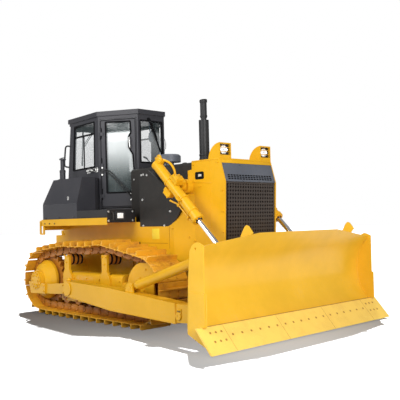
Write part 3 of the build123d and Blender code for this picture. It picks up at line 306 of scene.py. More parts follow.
def dress_nodes():
    """Every solid of the frame takes its finish."""
    finish_of = {name: finish for finish, names in NODE_FINISHES for name in names.split()}
    for name, node in NODES.items():
        node.data.materials.clear()
        node.data.materials.append(finish_of[name])


# ------------------------------------------------------------------ modelling


def ready():
    """Object mode with nothing selected."""
    if bpy.context.object and bpy.context.object.mode != "OBJECT":
        bpy.ops.object.mode_set(mode="OBJECT")
    bpy.ops.object.select_all(action="DESELECT")


def alone(piece):
    """Only this piece selected and active, out of edit mode."""
    ready()
    piece.select_set(True)
    bpy.context.view_layer.objects.active = piece
    return piece


def begin(kind, name, **settings):
    """A primitive at its size and place, with nothing else selected."""
    ready()
    getattr(bpy.ops.mesh, f"primitive_{kind}_add")(**settings)
    piece = bpy.context.object
    piece.name = name
    bpy.ops.object.transform_apply(location=True, rotation=True, scale=True)
    return piece


def block(name, low, high):
    """A box between two corners, ready to be shaped."""
    low, high = Vector(low), Vector(high)
    piece = begin("cube", name, size=1, location=(low + high) / 2)
    piece.data.transform(Matrix.Translation((low + high) / 2) @ Matrix.Diagonal((*(high - low), 1))
                         @ Matrix.Translation(-(low + high) / 2))
    return piece


def choose(piece, test, part="FACE"):
    """Edit mode, with the faces, edges or points for which the test holds selected."""
    alone(piece)
    bpy.ops.object.mode_set(mode="EDIT")
    bpy.ops.mesh.select_mode(type=part)
    bpy.ops.mesh.select_all(action="DESELECT")
    bpy.ops.object.mode_set(mode="OBJECT")
    mesh = piece.data
    for item in {"FACE": mesh.polygons, "EDGE": mesh.edges, "VERT": mesh.vertices}[part]:
        item.select = bool(test(item))
    bpy.ops.object.mode_set(mode="EDIT")


def push(offset):
    """Extrudes what is selected."""
    bpy.ops.mesh.extrude_region_move(TRANSFORM_OT_translate={"value": tuple(offset)})


def cut(piece, places, axis):
    """Cuts right through at each place along an axis."""
    alone(piece)
    bpy.ops.object.mode_set(mode="EDIT")
    for place in places:
        bpy.ops.mesh.select_all(action="SELECT")
        bpy.ops.mesh.bisect(plane_co=Vector(axis) * place, plane_no=axis)
    bpy.ops.object.mode_set(mode="OBJECT")


def modify(piece, kind, **settings):
    """Adds a modifier and applies it."""
    alone(piece)
    modifier = piece.modifiers.new(kind.lower(), kind)
    for key, value in settings.items():
        setattr(modifier, key, value)
    bpy.ops.object.modifier_apply(modifier=modifier.name)
    return piece


def move(offset):
    """Moves what is selected."""
    bpy.ops.transform.translate(value=tuple(offset))


def inset(thickness, **settings):
    """Insets the selected faces."""
    bpy.ops.mesh.inset(thickness=thickness, **settings)


def round_along(piece, axis, radius, segments, test=None):
    """Rounds the edges that run along an axis (0, 1 or 2)."""
    points = piece.data.vertices

    def runs(edge):
        a, b = (points[k].co for k in edge.vertices)
        return abs((a - b).normalized()[axis]) > 0.9 and (test is None or test(a))

    choose(piece, runs, "EDGE")
    bpy.ops.mesh.bevel(offset=radius, segments=segments)


def twin_of(piece, place=None):
    """A second piece with a mesh of its own."""
    twin = piece.copy()
    twin.data = piece.data.copy()
    if place is not None:
        twin.data.transform(place)
    bpy.context.collection.objects.link(twin)
    return twin


def soften(piece, width=0.003, segments=2, angle=30):
    """Bevels the sharp edges."""
    return modify(piece, "BEVEL", width=width, segments=segments, limit_method="ANGLE",
                  angle_limit=radians(angle), use_clamp_overlap=True)


def outward(piece):
    """Merges doubles and turns every face outwards."""
    alone(piece)
    bpy.ops.object.mode_set(mode="EDIT")
    bpy.ops.mesh.select_all(action="SELECT")
    bpy.ops.mesh.remove_doubles(threshold=0.00005)
    bpy.ops.mesh.normals_make_consistent(inside=False)
    bpy.ops.object.mode_set(mode="OBJECT")
    return piece


def join(name, made):
    """Several objects as one mesh."""
    alone(made[0])
    for piece in made:
        piece.select_set(True)
    if len(made) > 1:
        bpy.ops.object.join()
    made[0].name = name
    return made[0]


def plate(name, corners, depth, edge=0.002):
    """Flat plate cut to an outline and given its thickness."""
    piece = begin("circle", name, vertices=len(corners), radius=1, fill_type="NGON")
    for point, corner in zip(piece.data.vertices, corners):
        point.co = corner
    choose(piece, lambda f: True)
    push(depth)
    outward(piece)
    return soften(piece, edge, 2) if edge else piece


def rectangle(name, axis, at, low, high, depth, edge=0.002):
    """Rectangular plate across x (0) or y (1), between two corners given in the other two axes."""
    (a0, b0), (a1, b1) = low, high
    corners = [(at, a, b) if axis == 0 else (a, at, b) for a, b in ((a0, b0), (a1, b0), (a1, b1), (a0, b1))]
    return plate(name, corners, (depth, 0, 0) if axis == 0 else (0, depth, 0), edge)


def turned(name, profile, origin=(0, 0, 0), axis=UP, steps=32, edge=0.0):
    """Lathe work: (distance along the axis, radius) pairs spun right round."""
    axis = Vector(axis).normalized()
    away = axis.orthogonal().normalized()
    piece = begin("circle", name, vertices=len(profile), radius=1)
    for point, (along, radius) in zip(piece.data.vertices, profile):
        point.co = Vector(origin) + axis * along + away * radius
    ends = {0, len(profile) - 1}
    solid = profile[0][1] == 0 and profile[-1][1] == 0
    choose(piece, lambda e: solid and set(e.vertices) == ends, "EDGE")
    if solid:
        bpy.ops.mesh.delete(type="EDGE")
    bpy.ops.mesh.select_all(action="SELECT")
    bpy.ops.mesh.spin(steps=steps, angle=2 * pi, center=origin, axis=axis)
    outward(piece)
    return soften(piece, edge, 2, 25) if edge else piece


def pipe(name, points, radius, sides=3, closed=False):
    """Bent tube through a route; the corners are rounded by the curve itself."""
    ready()
    bpy.ops.curve.primitive_nurbs_path_add()
    piece = bpy.context.object
    piece.name = name
    curve = piece.data
    curve.splines.clear()
    line = curve.splines.new("NURBS")
    line.points.add(len(points) - 1)
    for point, place in zip(line.points, points):
        point.co = (*place, 1)
    line.order_u, line.use_endpoint_u, line.use_cyclic_u = 3, not closed, closed
    line.resolution_u = 5
    curve.dimensions, curve.bevel_depth, curve.bevel_resolution, curve.use_fill_caps = "3D", radius, sides, True
    bpy.ops.object.location_clear()
    alone(piece)
    bpy.ops.object.convert(target="MESH")
    piece = bpy.context.object
    return piece


def facing(point, direction, turn=0.0):
    """Place whose own Z points along a direction."""
    turned_to = Vector(direction).to_track_quat("Z", "Y").to_matrix().to_4x4()
    return Matrix.Translation(point) @ turned_to @ Matrix.Rotation(turn, 4, "Z")


def copies(name, model, places):
    """A modelled piece repeated at each place, as one mesh; the model goes."""
    made = [twin_of(model, place) for place in places]
    bpy.data.objects.remove(model)
    return join(name, made)


MIRROR = Matrix.Diagonal((1, -1, 1, 1))


def other_side(piece, name):
    """The same piece on the machine's left."""
    twin = twin_of(piece, MIRROR)
    twin.data.flip_normals()
    twin.name = name
    return twin


def both(piece):
    """Adds the left-hand copy to a right-hand piece."""
    return join(piece.name, [piece, other_side(piece, "twin")])


def put(piece, finish, body="chassis", smooth=35, place=None):
    """Last step for a piece: its place, shading, finish and the body it rides on."""
    alone(piece)
    if place is not None:
        piece.data.transform(place)
        if place.determinant() < 0:
            piece.data.flip_normals()
    bpy.ops.object.transform_apply(location=True, rotation=True, scale=True)
    if smooth:
        bpy.ops.object.shade_smooth_by_angle(angle=radians(smooth))
    piece.data.materials.clear()
    piece.data.materials.append(finish)
    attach(piece, body)
    return piece


def hex_bolt(name="bolt", radius=0.016, head=0.011):
    """Hexagon head on a washer, standing on the plane z = 0."""
    washer = begin("cylinder", name + "_washer", vertices=14, radius=radius * 1.35, depth=0.004,
                   location=(0, 0, 0.002), end_fill_type="NGON")
    top = begin("cylinder", name, vertices=6, radius=radius, depth=head, location=(0, 0, 0.004 + head / 2))
    choose(top, lambda f: f.normal.z > 0.9)
    inset(radius * 0.12)
    move((0, 0, 0.0012))
    return join(name, [top, washer])


def bolts(name, places, finish, body="chassis", radius=0.016, head=0.011, mirrored=True):
    """Hexagon heads at (point, outward direction) pairs."""
    row = copies(name, hex_bolt(radius=radius, head=head), [facing(p, d, 0.3) for p, d in places])
    return put(both(row) if mirrored else row, finish, body)


# ------------------------------------------------------------------ crawler tracks

SHOES = 38
GAUGE = 1.0
SHOE_HALF = 0.28
PLATE_IN, PLATE_OUT, GROUSER_TIP = 0.060, 0.073, 0.145
GROUSER_AT = 0.69
SPROCKET, R_SPROCKET = (-2.165, 0.578), 0.433
IDLER, R_IDLER = (0.628, 0.560), 0.415
CARRIER_PINS, CARRIER_SAG = ((-0.352, 1.141), (-1.440, 1.108)), 0.024
FIRST_GROUSER_X, PIN_HEIGHT = 0.448, 0.145


def tangent_angle(centre, radius, point, sign):
    """Angle on a circle where the line to an outside point touches it."""
    dx, dz = point[0] - centre[0], point[1] - centre[1]
    return atan2(dz, dx) + sign * acos(radius / hypot(dx, dz))


def pin_line():
    """The closed line that the track pins follow."""
    front, rear = CARRIER_PINS
    leave_idler = tangent_angle(IDLER, R_IDLER, front, -1)
    meet_sprocket = tangent_angle(SPROCKET, R_SPROCKET, rear, 1)
    line, steps = [(SPROCKET[0], PIN_HEIGHT)], 60
    for i in range(steps + 1):
        a = -pi / 2 + (leave_idler + pi / 2) * i / steps
        line.append((IDLER[0] + R_IDLER * cos(a), IDLER[1] + R_IDLER * sin(a)))
    for i in range(steps + 1):
        t = i / steps
        line.append((front[0] + t * (rear[0] - front[0]),
                     front[1] + t * (rear[1] - front[1]) - 4 * CARRIER_SAG * t * (1 - t)))
    for i in range(steps + 1):
        a = meet_sprocket + (3 * pi / 2 - meet_sprocket) * i / steps
        line.append((SPROCKET[0] + R_SPROCKET * cos(a), SPROCKET[1] + R_SPROCKET * sin(a)))
    return line


def link_places():
    """For each link: its place matrix (x to the next pin, z outward) and its pitch."""
    line = pin_line()
    marks = [0.0]
    for a, b in zip(line, line[1:]):
        marks.append(marks[-1] + hypot(b[0] - a[0], b[1] - a[1]))
    pitch = marks[-1] / SHOES
    start = (FIRST_GROUSER_X - GROUSER_AT * pitch - SPROCKET[0]) % pitch
    pins, k = [], 0
    for i in range(SHOES):
        s = start + i * pitch
        while marks[k + 1] < s:
            k += 1
        t = (s - marks[k]) / (marks[k + 1] - marks[k])
        pins.append((line[k][0] + t * (line[k + 1][0] - line[k][0]),
                     line[k][1] + t * (line[k + 1][1] - line[k][1])))
    places = []
    for i, (x, z) in enumerate(pins):
        nx, nz = pins[(i + 1) % SHOES]
        length = hypot(nx - x, nz - z)
        u = ((nx - x) / length, (nz - z) / length)
        places.append(Matrix(((u[0], 0, u[1], x), (0, 1, 0, -GAUGE), (u[1], 0, -u[0], z), (0, 0, 0, 1))))
    return places, pitch


LINKS, PITCH = link_places()


def track_shoe():
    """One pressed shoe: plate, tapered grouser, turned-down nose and four bolts."""
    root = GROUSER_AT * PITCH
    shoe = block("shoe", (0.004, -SHOE_HALF, PLATE_IN), (PITCH + 0.024, SHOE_HALF, PLATE_OUT))
    cut(shoe, (0.026, root - 0.016, root + 0.016, PITCH - 0.012), AHEAD)
    cut(shoe, (-SHOE_HALF + 0.03, SHOE_HALF - 0.03), (0, 1, 0))
    choose(shoe, lambda f: f.normal.z > 0.9 and abs(f.center.x - root) < 0.015)
    push((0, 0, GROUSER_TIP - PLATE_OUT))
    bpy.ops.transform.resize(value=(0.5, 1.0, 1.0))
    choose(shoe, lambda v: v.co.x < 0.01, "VERT")
    move((0, 0, -0.017))
    choose(shoe, lambda v: v.co.x > PITCH and v.co.z > PLATE_IN, "VERT")
    move((0, 0, 0.001))
    choose(shoe, lambda v: v.co.z > GROUSER_TIP - 0.001 and abs(v.co.y) > SHOE_HALF - 0.001, "VERT")
    move((0, 0, -0.010))
    soften(shoe, 0.003, 1, 40)
    head = begin("cylinder", "head", vertices=6, radius=0.017, depth=0.012, location=(0, 0, PLATE_OUT + 0.006))
    choose(head, lambda f: f.normal.z > 0.9)
    inset(0.003)
    move((0, 0, 0.0015))
    spots = [Matrix.Translation((x * PITCH, y, 0)) for x in (0.20, 0.47) for y in (-0.088, 0.088)]
    return join("shoe", [shoe, copies("heads", head, spots)])


def chain_link():
    """One forged link side: rounded pin ends, waist, rail face and a pin end."""
    outline = (  # along the link, outward, in millimetres
        (-50, 6), (-42, 34), (-12, 56), (150, 56), (PITCH * 1000 - 56, 44), (PITCH * 1000 - 40, 30),
        (PITCH * 1000 + 8, 42), (PITCH * 1000 + 38, 20), (PITCH * 1000 + 42, -16),
        (PITCH * 1000 + 22, -42), (PITCH * 1000 - 26, -63), (62, -63), (44, -40), (20, -34), (-28, -36))
    link = plate("link", [(x * MM, 0, z * MM) for x, z in outline], (0, 0.026, 0), 0.004)
    link.data.transform(Matrix.Translation((0, -0.112, 0)))
    twin = twin_of(link, Matrix.Translation((0, 0.022, 0)))
    choose(twin, lambda v: v.co.x < PITCH * 0.5, "VERT")
    move((0, 0.004, 0))
    boss = turned("pin_end", [(0, 0), (0, 0.016), (-0.004, 0.020), (-0.004, 0.030), (0.01, 0.034), (0.06, 0.034),
                              (0.06, 0)], (0, -0.116, 0), (0, 1, 0), 12)
    return join("link", [link, twin, boss])


def bushing():
    """Sleeve between the two sides of the chain."""
    return turned("bushing", [(-0.064, 0), (-0.064, 0.036), (0.064, 0.036), (0.064, 0)], (0, 0, 0), (0, 1, 0), 12)


def tracks():
    """Shoes and chain in place of the plain loops."""
    shoes = put(copies("track_shoes_right", track_shoe(), LINKS), TRACK)
    side = chain_link()
    inner = copies("inner_links", side, LINKS)
    side = chain_link()
    side.data.transform(MIRROR)
    side.data.flip_normals()
    outer = copies("outer_links", side, LINKS)
    sleeves = copies("sleeves", bushing(), LINKS)
    chain = put(join("track_chain_right", [inner, outer, sleeves]), TRACK_SHADE_AND_GRIME)
    for piece, name, node in ((shoes, "track_shoes_left", "track_left"), (chain, "track_chain_left", None)):
        twin = put(other_side(piece, name), piece.data.materials[0])
        if node:
            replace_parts(twin, node)
    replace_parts(shoes, "track_right")


# ------------------------------------------------------------------ grille, guard and lamps

GUARD_HALF = 0.540
GRILLE_HALF = 0.522
MESH_X, MESH_LOW, MESH_TOP = -0.018, 0.770, 2.062
# shear that leans the mesh with the guard's front edge
MESH_LEAN = Matrix(((1, 0, 0.03846, 1.6154), (0, 1, 0, 0), (0, 0, 1, 0), (0, 0, 0, 1)))
LEAN_BASE, LEAN_TOP = (1.684, 2.070), (1.610, 2.330)


def diamond_mesh():
    """Expanded metal: one diamond opening repeated up and across, then thickened."""
    step = 2 * GRILLE_HALF / 20
    rows = int((MESH_TOP - MESH_LOW) / step)
    cell = begin("circle", "grille_mesh", vertices=4, radius=step / 2, fill_type="NGON",
                 location=(0, 0, 0), rotation=(0, pi / 2, 0))
    choose(cell, lambda f: True)
    inset(step * 0.088)
    bpy.ops.mesh.delete(type="FACE")
    cell = join("grille_mesh", [cell, twin_of(cell, Matrix.Translation((0, step / 2, step / 2)))])
    for offset, count in (((0, step, 0), 19), ((0, 0, step), rows)):
        modify(cell, "ARRAY", count=count, use_relative_offset=False, use_constant_offset=True,
               constant_offset_displace=offset, use_merge_vertices=True, merge_threshold=0.0004)
    cell.data.transform(Matrix.Translation((MESH_X, -GRILLE_HALF + step, MESH_LOW + step / 2)))
    modify(cell, "SOLIDIFY", thickness=0.003, offset=0)
    outward(cell)
    return put(cell, MESH_BLACK, smooth=0, place=MESH_LEAN)


def mesh_rim():
    """Folded rim round the mesh, with a bar across it."""
    rim = begin("plane", "grille_rim", size=1)
    rim.data.transform(Matrix(((0, 0, 1, MESH_X - 0.008), (2 * GRILLE_HALF, 0, 0, 0),
                               (0, MESH_TOP - MESH_LOW + 0.016, 0, (MESH_TOP + MESH_LOW) / 2), (0, 0, 0, 1))))
    choose(rim, lambda f: True)
    inset(0.026)
    bpy.ops.mesh.delete(type="FACE")
    modify(rim, "SOLIDIFY", thickness=0.022, offset=0)
    outward(rim)
    middle = block("bar", (MESH_X - 0.02, -GRILLE_HALF, 1.395), (MESH_X - 0.006, GRILLE_HALF, 1.415))
    soften(middle, 0.003)
    return put(soften(join("grille_rim", [rim, middle]), 0.003), MESH_BLACK, place=MESH_LEAN)


def slotted_panel():
    """Leaning upper panel with three rows of pressed slots, a near-black sheet behind them that paints the slots'
    shade, the guard's lip and the bolts.
    """
    wide, tall, columns, rows = 2 * GRILLE_HALF, 0.272, 18, 10
    panel = begin("grid", "grille_panel", x_subdivisions=columns, y_subdivisions=rows, size=1)
    panel.data.transform(Matrix.Diagonal((wide, tall, 1, 1)))
    cell_x, cell_y = wide / columns, tall / rows
    choose(panel, lambda f: -tall / 2 + cell_y < f.center.y < -tall / 2 + 4 * cell_y
           and abs(f.center.x) < wide / 2 - cell_x)
    inset(0.0042, use_individual=True)
    bpy.ops.mesh.delete(type="FACE")
    modify(panel, "SOLIDIFY", thickness=0.010, offset=1)
    outward(panel)
    soften(panel, 0.0012, 1, 50)
    (x0, z0), (x1, z1) = LEAN_BASE, LEAN_TOP
    up = Vector((x1 - x0, 0, z1 - z0)).normalized()
    out = Vector((up.z, 0, -up.x))
    middle = Vector(((x0 + x1) / 2, 0, (z0 + z1) / 2))
    place = Matrix(((0, up.x, out.x, middle.x), (1, 0, 0, 0), (0, up.z, out.z, middle.z), (0, 0, 0, 1)))
    put(panel, SLATE, place=place)
    half_wide, half_tall = wide / 2 - 0.004, tall / 2 - 0.004
    # near-black sheet just behind the slots: painted shade, so the slots read dark
    back = block("grille_panel_shade_sheet", (-half_wide, -half_tall, -0.022), (half_wide, half_tall, -0.016))
    choose(back, lambda f: f.normal.z > 0.9)
    inset(0.02)
    put(back, GASKET, place=place)
    lip = plate("guard_lip", [(1.612, -GRILLE_HALF, 2.336), (1.612, GRILLE_HALF, 2.336), (1.600, GRILLE_HALF, 2.389),
                              (1.600, -GRILLE_HALF, 2.389)], (-0.012, 0, 0), 0.003)
    put(lip, PAINT)
    spots = [(middle + up * v * 0.122 + Vector((0, y, 0)) + out * 0.006, out)
             for v in (-1, 1) for y in (-0.50, -0.17, 0.17, 0.50)]
    bolts("grille_panel_bolts", spots, SLATE, radius=0.010, head=0.006, mirrored=False)
    return panel


def radiator_core():
    """Dark cooler block and fan shroud seen behind the mesh."""
    core = block("radiator_core", (-0.075, -0.50, 0.80), (-0.035, 0.50, 2.05))
    choose(core, lambda f: f.normal.x > 0.9)
    inset(0.03)
    move((-0.012, 0, 0))
    bpy.ops.mesh.subdivide(number_cuts=11)
    return put(soften(core, 0.003), CORE, place=MESH_LEAN)


def guard_trim():
    """Folded seams, the pressed rib, the rounded inspection opening and bolts on the guard's sides."""
    y = -GUARD_HALF
    strips = [rectangle("seam", 1, y + 0.002, (1.399, 1.415), (1.403, 2.400), -0.0045, 0.001),
              plate("rib", [(0.990, y + 0.002, 2.088), (1.424, y + 0.002, 2.061), (1.424, y + 0.002, 2.075),
                            (0.990, y + 0.002, 2.103)], (0, -0.009, 0), 0.004),
              plate("lip", [(1.020, y + 0.002, 2.388), (1.596, y + 0.002, 2.388), (1.592, y + 0.002, 2.402),
                            (1.020, y + 0.002, 2.402)], (0, -0.008, 0), 0.003)]
    put(both(join("guard_ribs", strips)), PAINT)
    # inspection opening: rubber frame round a dark recess with a pale gauge
    frame = block("guard_opening", (1.091, y - 0.006, 2.129), (1.271, y + 0.004, 2.237))
    round_along(frame, 1, 0.024, 4)
    choose(frame, lambda f: f.normal.y < -0.9)
    inset(0.012)
    push((0, 0.0035, 0))
    put(both(soften(frame, 0.001)), GASKET)
    tab = plate("guard_gauge", [(1.150, y - 0.0015, 2.166), (1.222, y - 0.0015, 2.170), (1.222, y - 0.0015, 2.198),
                                 (1.160, y - 0.0015, 2.206)], (0, -0.003, 0), 0.001)
    put(both(tab), PLATE_WHITE)
    spots = [((x, y, z), RIGHT) for x, z in (
        (1.196, 2.028), (1.060, 1.760), (1.060, 1.500), (1.060, 1.240), (1.640, 1.950), (1.640, 1.660),
        (1.640, 1.370), (1.055, 2.350), (1.560, 2.350))]
    bolts("guard_bolts", spots, PAINT, radius=0.013)


def front_lamps():
    """Bezel, round lens, two guard wires and strip bolts in each lamp box."""
    middle_y, middle_z = -(0.308 + 0.540) / 2, 2.527
    box = block("lamp_bezel", (1.552, middle_y - 0.100, 2.452), (1.566, middle_y + 0.100, 2.602))
    choose(box, lambda f: f.normal.x > 0.9)
    inset(0.016)
    push((-0.022, 0, 0))
    put(both(soften(box, 0.002)), PANEL_BLACK)
    ring = turned("lamp_ring", [(0, 0.056), (0.016, 0.060), (0.020, 0.066), (0.012, 0.072), (0, 0.072)],
                  (1.548, middle_y, middle_z), AHEAD, 32)
    put(both(ring), CHROME)
    lens = turned("lamp_lens", [(0.004, 0.057), (0.012, 0.050), (0.018, 0.034), (0.021, 0.016), (0.022, 0)],
                  (1.546, middle_y, middle_z), AHEAD, 32)
    put(both(lens), LENS)
    wires = [pipe("wire", [(1.590, middle_y - 0.102, z), (1.590, middle_y - 0.04, z), (1.590, middle_y + 0.04, z),
                           (1.590, middle_y + 0.102, z)], 0.004, 2) for z in (2.497, 2.557)]
    put(both(join("lamp_wires", wires)), PAINT)
    spots = [((1.600, middle_y + dy, 2.424), AHEAD) for dy in (-0.075, 0.075)]
    bolts("lamp_bolts", spots, PAINT, radius=0.009, head=0.006)


# ------------------------------------------------------------------ blade and push frame

EDGE_X, EDGE_Z, EDGE_TOP, EDGE_SLOPE = 2.730, 0.020, 0.298, 0.892


def on_edge(y, rise):
    """Point on the front of the cutting edge, rise metres above its lower edge."""
    return (EDGE_X - EDGE_SLOPE * rise, y, EDGE_Z + rise)


def cutting_edge_fittings():
    """Plough bolts, seams between the segments and the bead over the edge."""
    out = Vector((1, 0, EDGE_SLOPE)).normalized()
    spots = []
    for k in range(18):
        spots.append((on_edge(-1.373 + k * 2.746 / 17, 0.165), out))
    for y in (1.520, 1.610, 1.700):
        for s in (-1, 1):
            spots += [(on_edge(s * y, 0.125), out), (on_edge(s * y, 0.215), out)]
    plough = turned("plough_bolt", [(0.0, 0), (0.0, 0.0145), (0.002, 0.0160), (0.0035, 0.0150), (0.0035, 0.009),
                                    (0.001, 0.007), (0.001, 0)], steps=14)
    put(copies("edge_bolts", plough, [facing(p, d) for p, d in spots]), EDGE_BOLT, "blade_frame")
    seam = [plate("bead", [on_edge(-1.744, 0.2785), on_edge(1.744, 0.2785), on_edge(1.744, 0.2855),
                           on_edge(-1.744, 0.2855)], out * 0.003, 0)]
    for y in (-1.447, -0.483, 0.483, 1.447):
        seam.append(plate("gap", [on_edge(y - 0.0018, 0.004), on_edge(y + 0.0018, 0.004),
                                  on_edge(y + 0.0018, 0.276), on_edge(y - 0.0018, 0.276)], out * 0.0012, 0))
    put(join("edge_seams", seam), EDGE_BOLT, "blade_frame", smooth=0)


def weld(route, radius=0.006):
    """Bead of weld along a route."""
    return pipe("bead", route, radius, 2)


def blade_welds():
    """Welds where the end plates and the skin meet, and along the push arms."""
    centre, radius = (2.878, 0.742), 0.622
    arc = [(centre[0] - sqrt(radius ** 2 - (z - centre[1]) ** 2) + 0.002, z)
           for z in (0.30, 0.40, 0.50, 0.62, 0.742, 0.86, 0.98, 1.09, 1.20)]
    beads = [weld([(x, s * 1.741, z) for x, z in arc]) for s in (-1, 1)]
    beads += [weld([(x, s * 1.7645, z) for x, z in ((2.232, 0.250), (2.262, 0.688), (2.400, 0.692),
                                                             (2.528, 0.692), (2.532, 0.310))], 0.005)
              for s in (-1, 1)]
    put(join("blade_welds", beads), BLADE_PAINT_AND_GLARE, "blade_frame", smooth=60)
    steel = [weld([(x, s * 1.4835, z) for x, z in ((1.688, 0.250), (1.688, 0.36), (1.688, 0.484))], 0.007)
             for s in (-1, 1)]
    steel += [weld([(x, s * 1.5, z) for x, z in ((-0.955, 0.414), (-0.3, 0.3485), (0.268, 0.287),
                                                          (0.9, 0.267), (1.682, 0.242))], 0.003) for s in (-1, 1)]
    put(join("arm_welds", steel), PAINT, "blade_frame", smooth=60)


def arm_fittings():
    """Knob over the trunnion, clevis pin heads and bolts on the push arms."""
    knob = turned("arm_knobs", [(0, 0), (0, 0.030), (0.020, 0.034), (0.034, 0.026), (0.044, 0.018), (0.044, 0)],
                  (-0.915, -1.440, 0.640), UP, 24, 0.002)
    put(both(knob), PAINT, "blade_frame")
    pin = turned("clevis_pins", [(0, 0), (0, 0.048), (0.010, 0.056), (0.018, 0.050), (0.018, 0.018), (0.012, 0.014),
                                 (0.012, 0)], (1.741, -1.482, 0.330), RIGHT, 28, 0.0015)
    keeper = rectangle("keeper", 1, -1.482, (1.72, 0.365), (1.80, 0.425), -0.012, 0.003)
    put(both(join("clevis_pins", [pin, keeper])), PAINT, "blade_frame")
    spots = [((x, -1.494, 0.395), RIGHT) for x in (1.742, 1.778)]
    bolts("keeper_bolts", spots, BOLT_DARK, "blade_frame", radius=0.009, head=0.007)


# ------------------------------------------------------------------ lift and tilt cylinders

CYL_Y = 0.840
TRUNNION, ROD_EYE = Vector((0.941, -CYL_Y, 2.038)), Vector((2.150, -CYL_Y, 0.895))
ALONG = (ROD_EYE - TRUNNION).normalized()
NORMAL = Vector((-ALONG.z, 0, ALONG.x))
HEAD, GLAND, R_BARREL = -0.511, 0.722, 0.076


def by_barrel(s, y, n):
    """Point beside the lift barrel: distance along it, outward from the machine, and off its top."""
    return TRUNNION + ALONG * s + Vector((0, -y, 0)) + NORMAL * n


def barrel_route(start, points):
    """Points beside the barrel, with their distances counted from start."""
    return [by_barrel(start + s, y, n) for s, y, n in points]


def barrel_place(s, y, n, way=1):
    """Place matrix at a point beside the barrel: x along it, z off its top (or its underside)."""
    return Matrix.Translation(by_barrel(s, y, n)) @ Matrix(
        ((ALONG.x, 0, way * NORMAL.x, 0), (0, 1, 0, 0), (ALONG.z, 0, way * NORMAL.z, 0), (0, 0, 0, 1)))


def barrel_pieces(side, mirrored):
    """Collars, gland bolts, head fitting, steel lines and clamps on one lift barrel."""
    body = "lift_barrel_" + side
    turn = MIRROR if mirrored else None

    def fit(piece, finish, smooth=35):
        return put(piece, finish, body, smooth, turn)

    collar = [turned("collar", [(-0.012, R_BARREL), (-0.012, 0.086), (0.012, 0.086), (0.012, R_BARREL)],
                     by_barrel(s, 0, 0), ALONG, 32, 0.002) for s in (-0.100, 0.300, 0.560)]
    fit(join(f"barrel_bands_{side}", collar), PAINT)
    ring = [(by_barrel(GLAND + 0.001, 0.062 * sin(a), 0.062 * cos(a)), ALONG)
            for a in (k * pi / 4 + 0.3 for k in range(8))]
    fit(copies(f"gland_bolts_{side}", hex_bolt(radius=0.009), [facing(p, d) for p, d in ring]), PAINT)
    seal = turned(f"rod_wiper_{side}", [(0.0, 0.038), (0.0, 0.054), (0.010, 0.052), (0.016, 0.044), (0.014, 0.038)],
                  by_barrel(GLAND, 0, 0), ALONG, 28)
    fit(seal, RUBBER)
    # fitting on the head with an elbow each way
    block_up = block("head_block", (-0.05, -0.045, 0), (0.05, 0.045, 0.062))
    soften(block_up, 0.010, 3)
    block_up.data.transform(barrel_place(HEAD + 0.045, 0, 0.060))
    down = pipe("elbow_in", barrel_route(HEAD, (
        (0.045, 0, 0.100), (0.005, 0, 0.130), (-0.050, -0.020, 0.112), (-0.075, -0.045, 0.050),
        (-0.065, -0.075, -0.060), (-0.040, -0.100, -0.140))), 0.026, 5)
    rings = [turned("nut", [(-0.014, 0.026), (-0.014, 0.038), (0.014, 0.038), (0.014, 0.026)],
                    p, d, 8, 0.002) for p, d in (
        (by_barrel(HEAD + 0.034, 0, 0.112), ALONG * -0.6 + NORMAL),
        (by_barrel(HEAD - 0.074, -0.050, 0.034), NORMAL + ALONG * 0.12),
        (by_barrel(HEAD - 0.052, -0.090, -0.108), NORMAL * -1 + ALONG * 0.3))]
    fit(join(f"head_fitting_{side}", [block_up, down, *rings]), PAINT)
    line = pipe("line", barrel_route(HEAD, (
        (0.070, -0.020, 0.130), (0.150, -0.060, 0.165), (0.250, -0.095, 0.140), (0.330, -0.110, 0.090),
        (0.345, -0.112, 0.020), (0.340, -0.104, -0.010))), 0.017, 4)
    fit(join(f"head_line_{side}", [line]), PAINT)
    under = [pipe("under", barrel_route(0, (
        (0.130, 0.050, -0.160), (0.200, 0.040, -0.135), (0.260, 0.030, -0.104), (0.420, 0.020, -0.104),
        (0.600, 0.015, -0.104), (0.665, 0.010, -0.102), (0.690, 0.008, -0.070))), 0.013, 3)]
    for s in (0.300, 0.560):
        clip = block("clip", (-0.016, -0.030, -0.122), (0.016, 0.030, -0.072))
        soften(clip, 0.005, 2)
        clip.data.transform(barrel_place(s, 0.018, 0))
        under.append(clip)
    lug = plate("lug", [by_barrel(s, y, 0.030) for s, y in (
        (0.255, 0.070), (0.255, 0.135), (0.275, 0.150), (0.325, 0.150), (0.345, 0.135), (0.345, 0.070))],
        NORMAL * -0.016, 0.003)
    fit(join(f"gland_line_{side}", [*under, lug]), PAINT)
    # bearing caps above and below the barrel, each held by four bolts
    caps, heads = [], []
    for way in (1, -1):
        cap = block("cap", (-0.070, -0.070, 0), (0.070, 0.070, 0.026))
        round_along(cap, 2, 0.030, 3)
        choose(cap, lambda f: f.normal.z > 0.9)
        inset(0.034)
        move((0, 0, 0.010))
        soften(cap, 0.003)
        turn_to = barrel_place(0, 0, way * 0.137, way)
        cap.data.transform(turn_to)
        if turn_to.determinant() < 0:
            cap.data.flip_normals()
        caps.append(cap)
        heads += [(by_barrel(s * 0.050, y * 0.050, way * 0.163), NORMAL * way) for s in (-1, 1) for y in (-1, 1)]
    fit(join(f"pin_caps_{side}", caps), PAINT)
    fit(copies(f"cap_bolts_{side}", hex_bolt(radius=0.011), [facing(p, d) for p, d in heads]), PAINT)


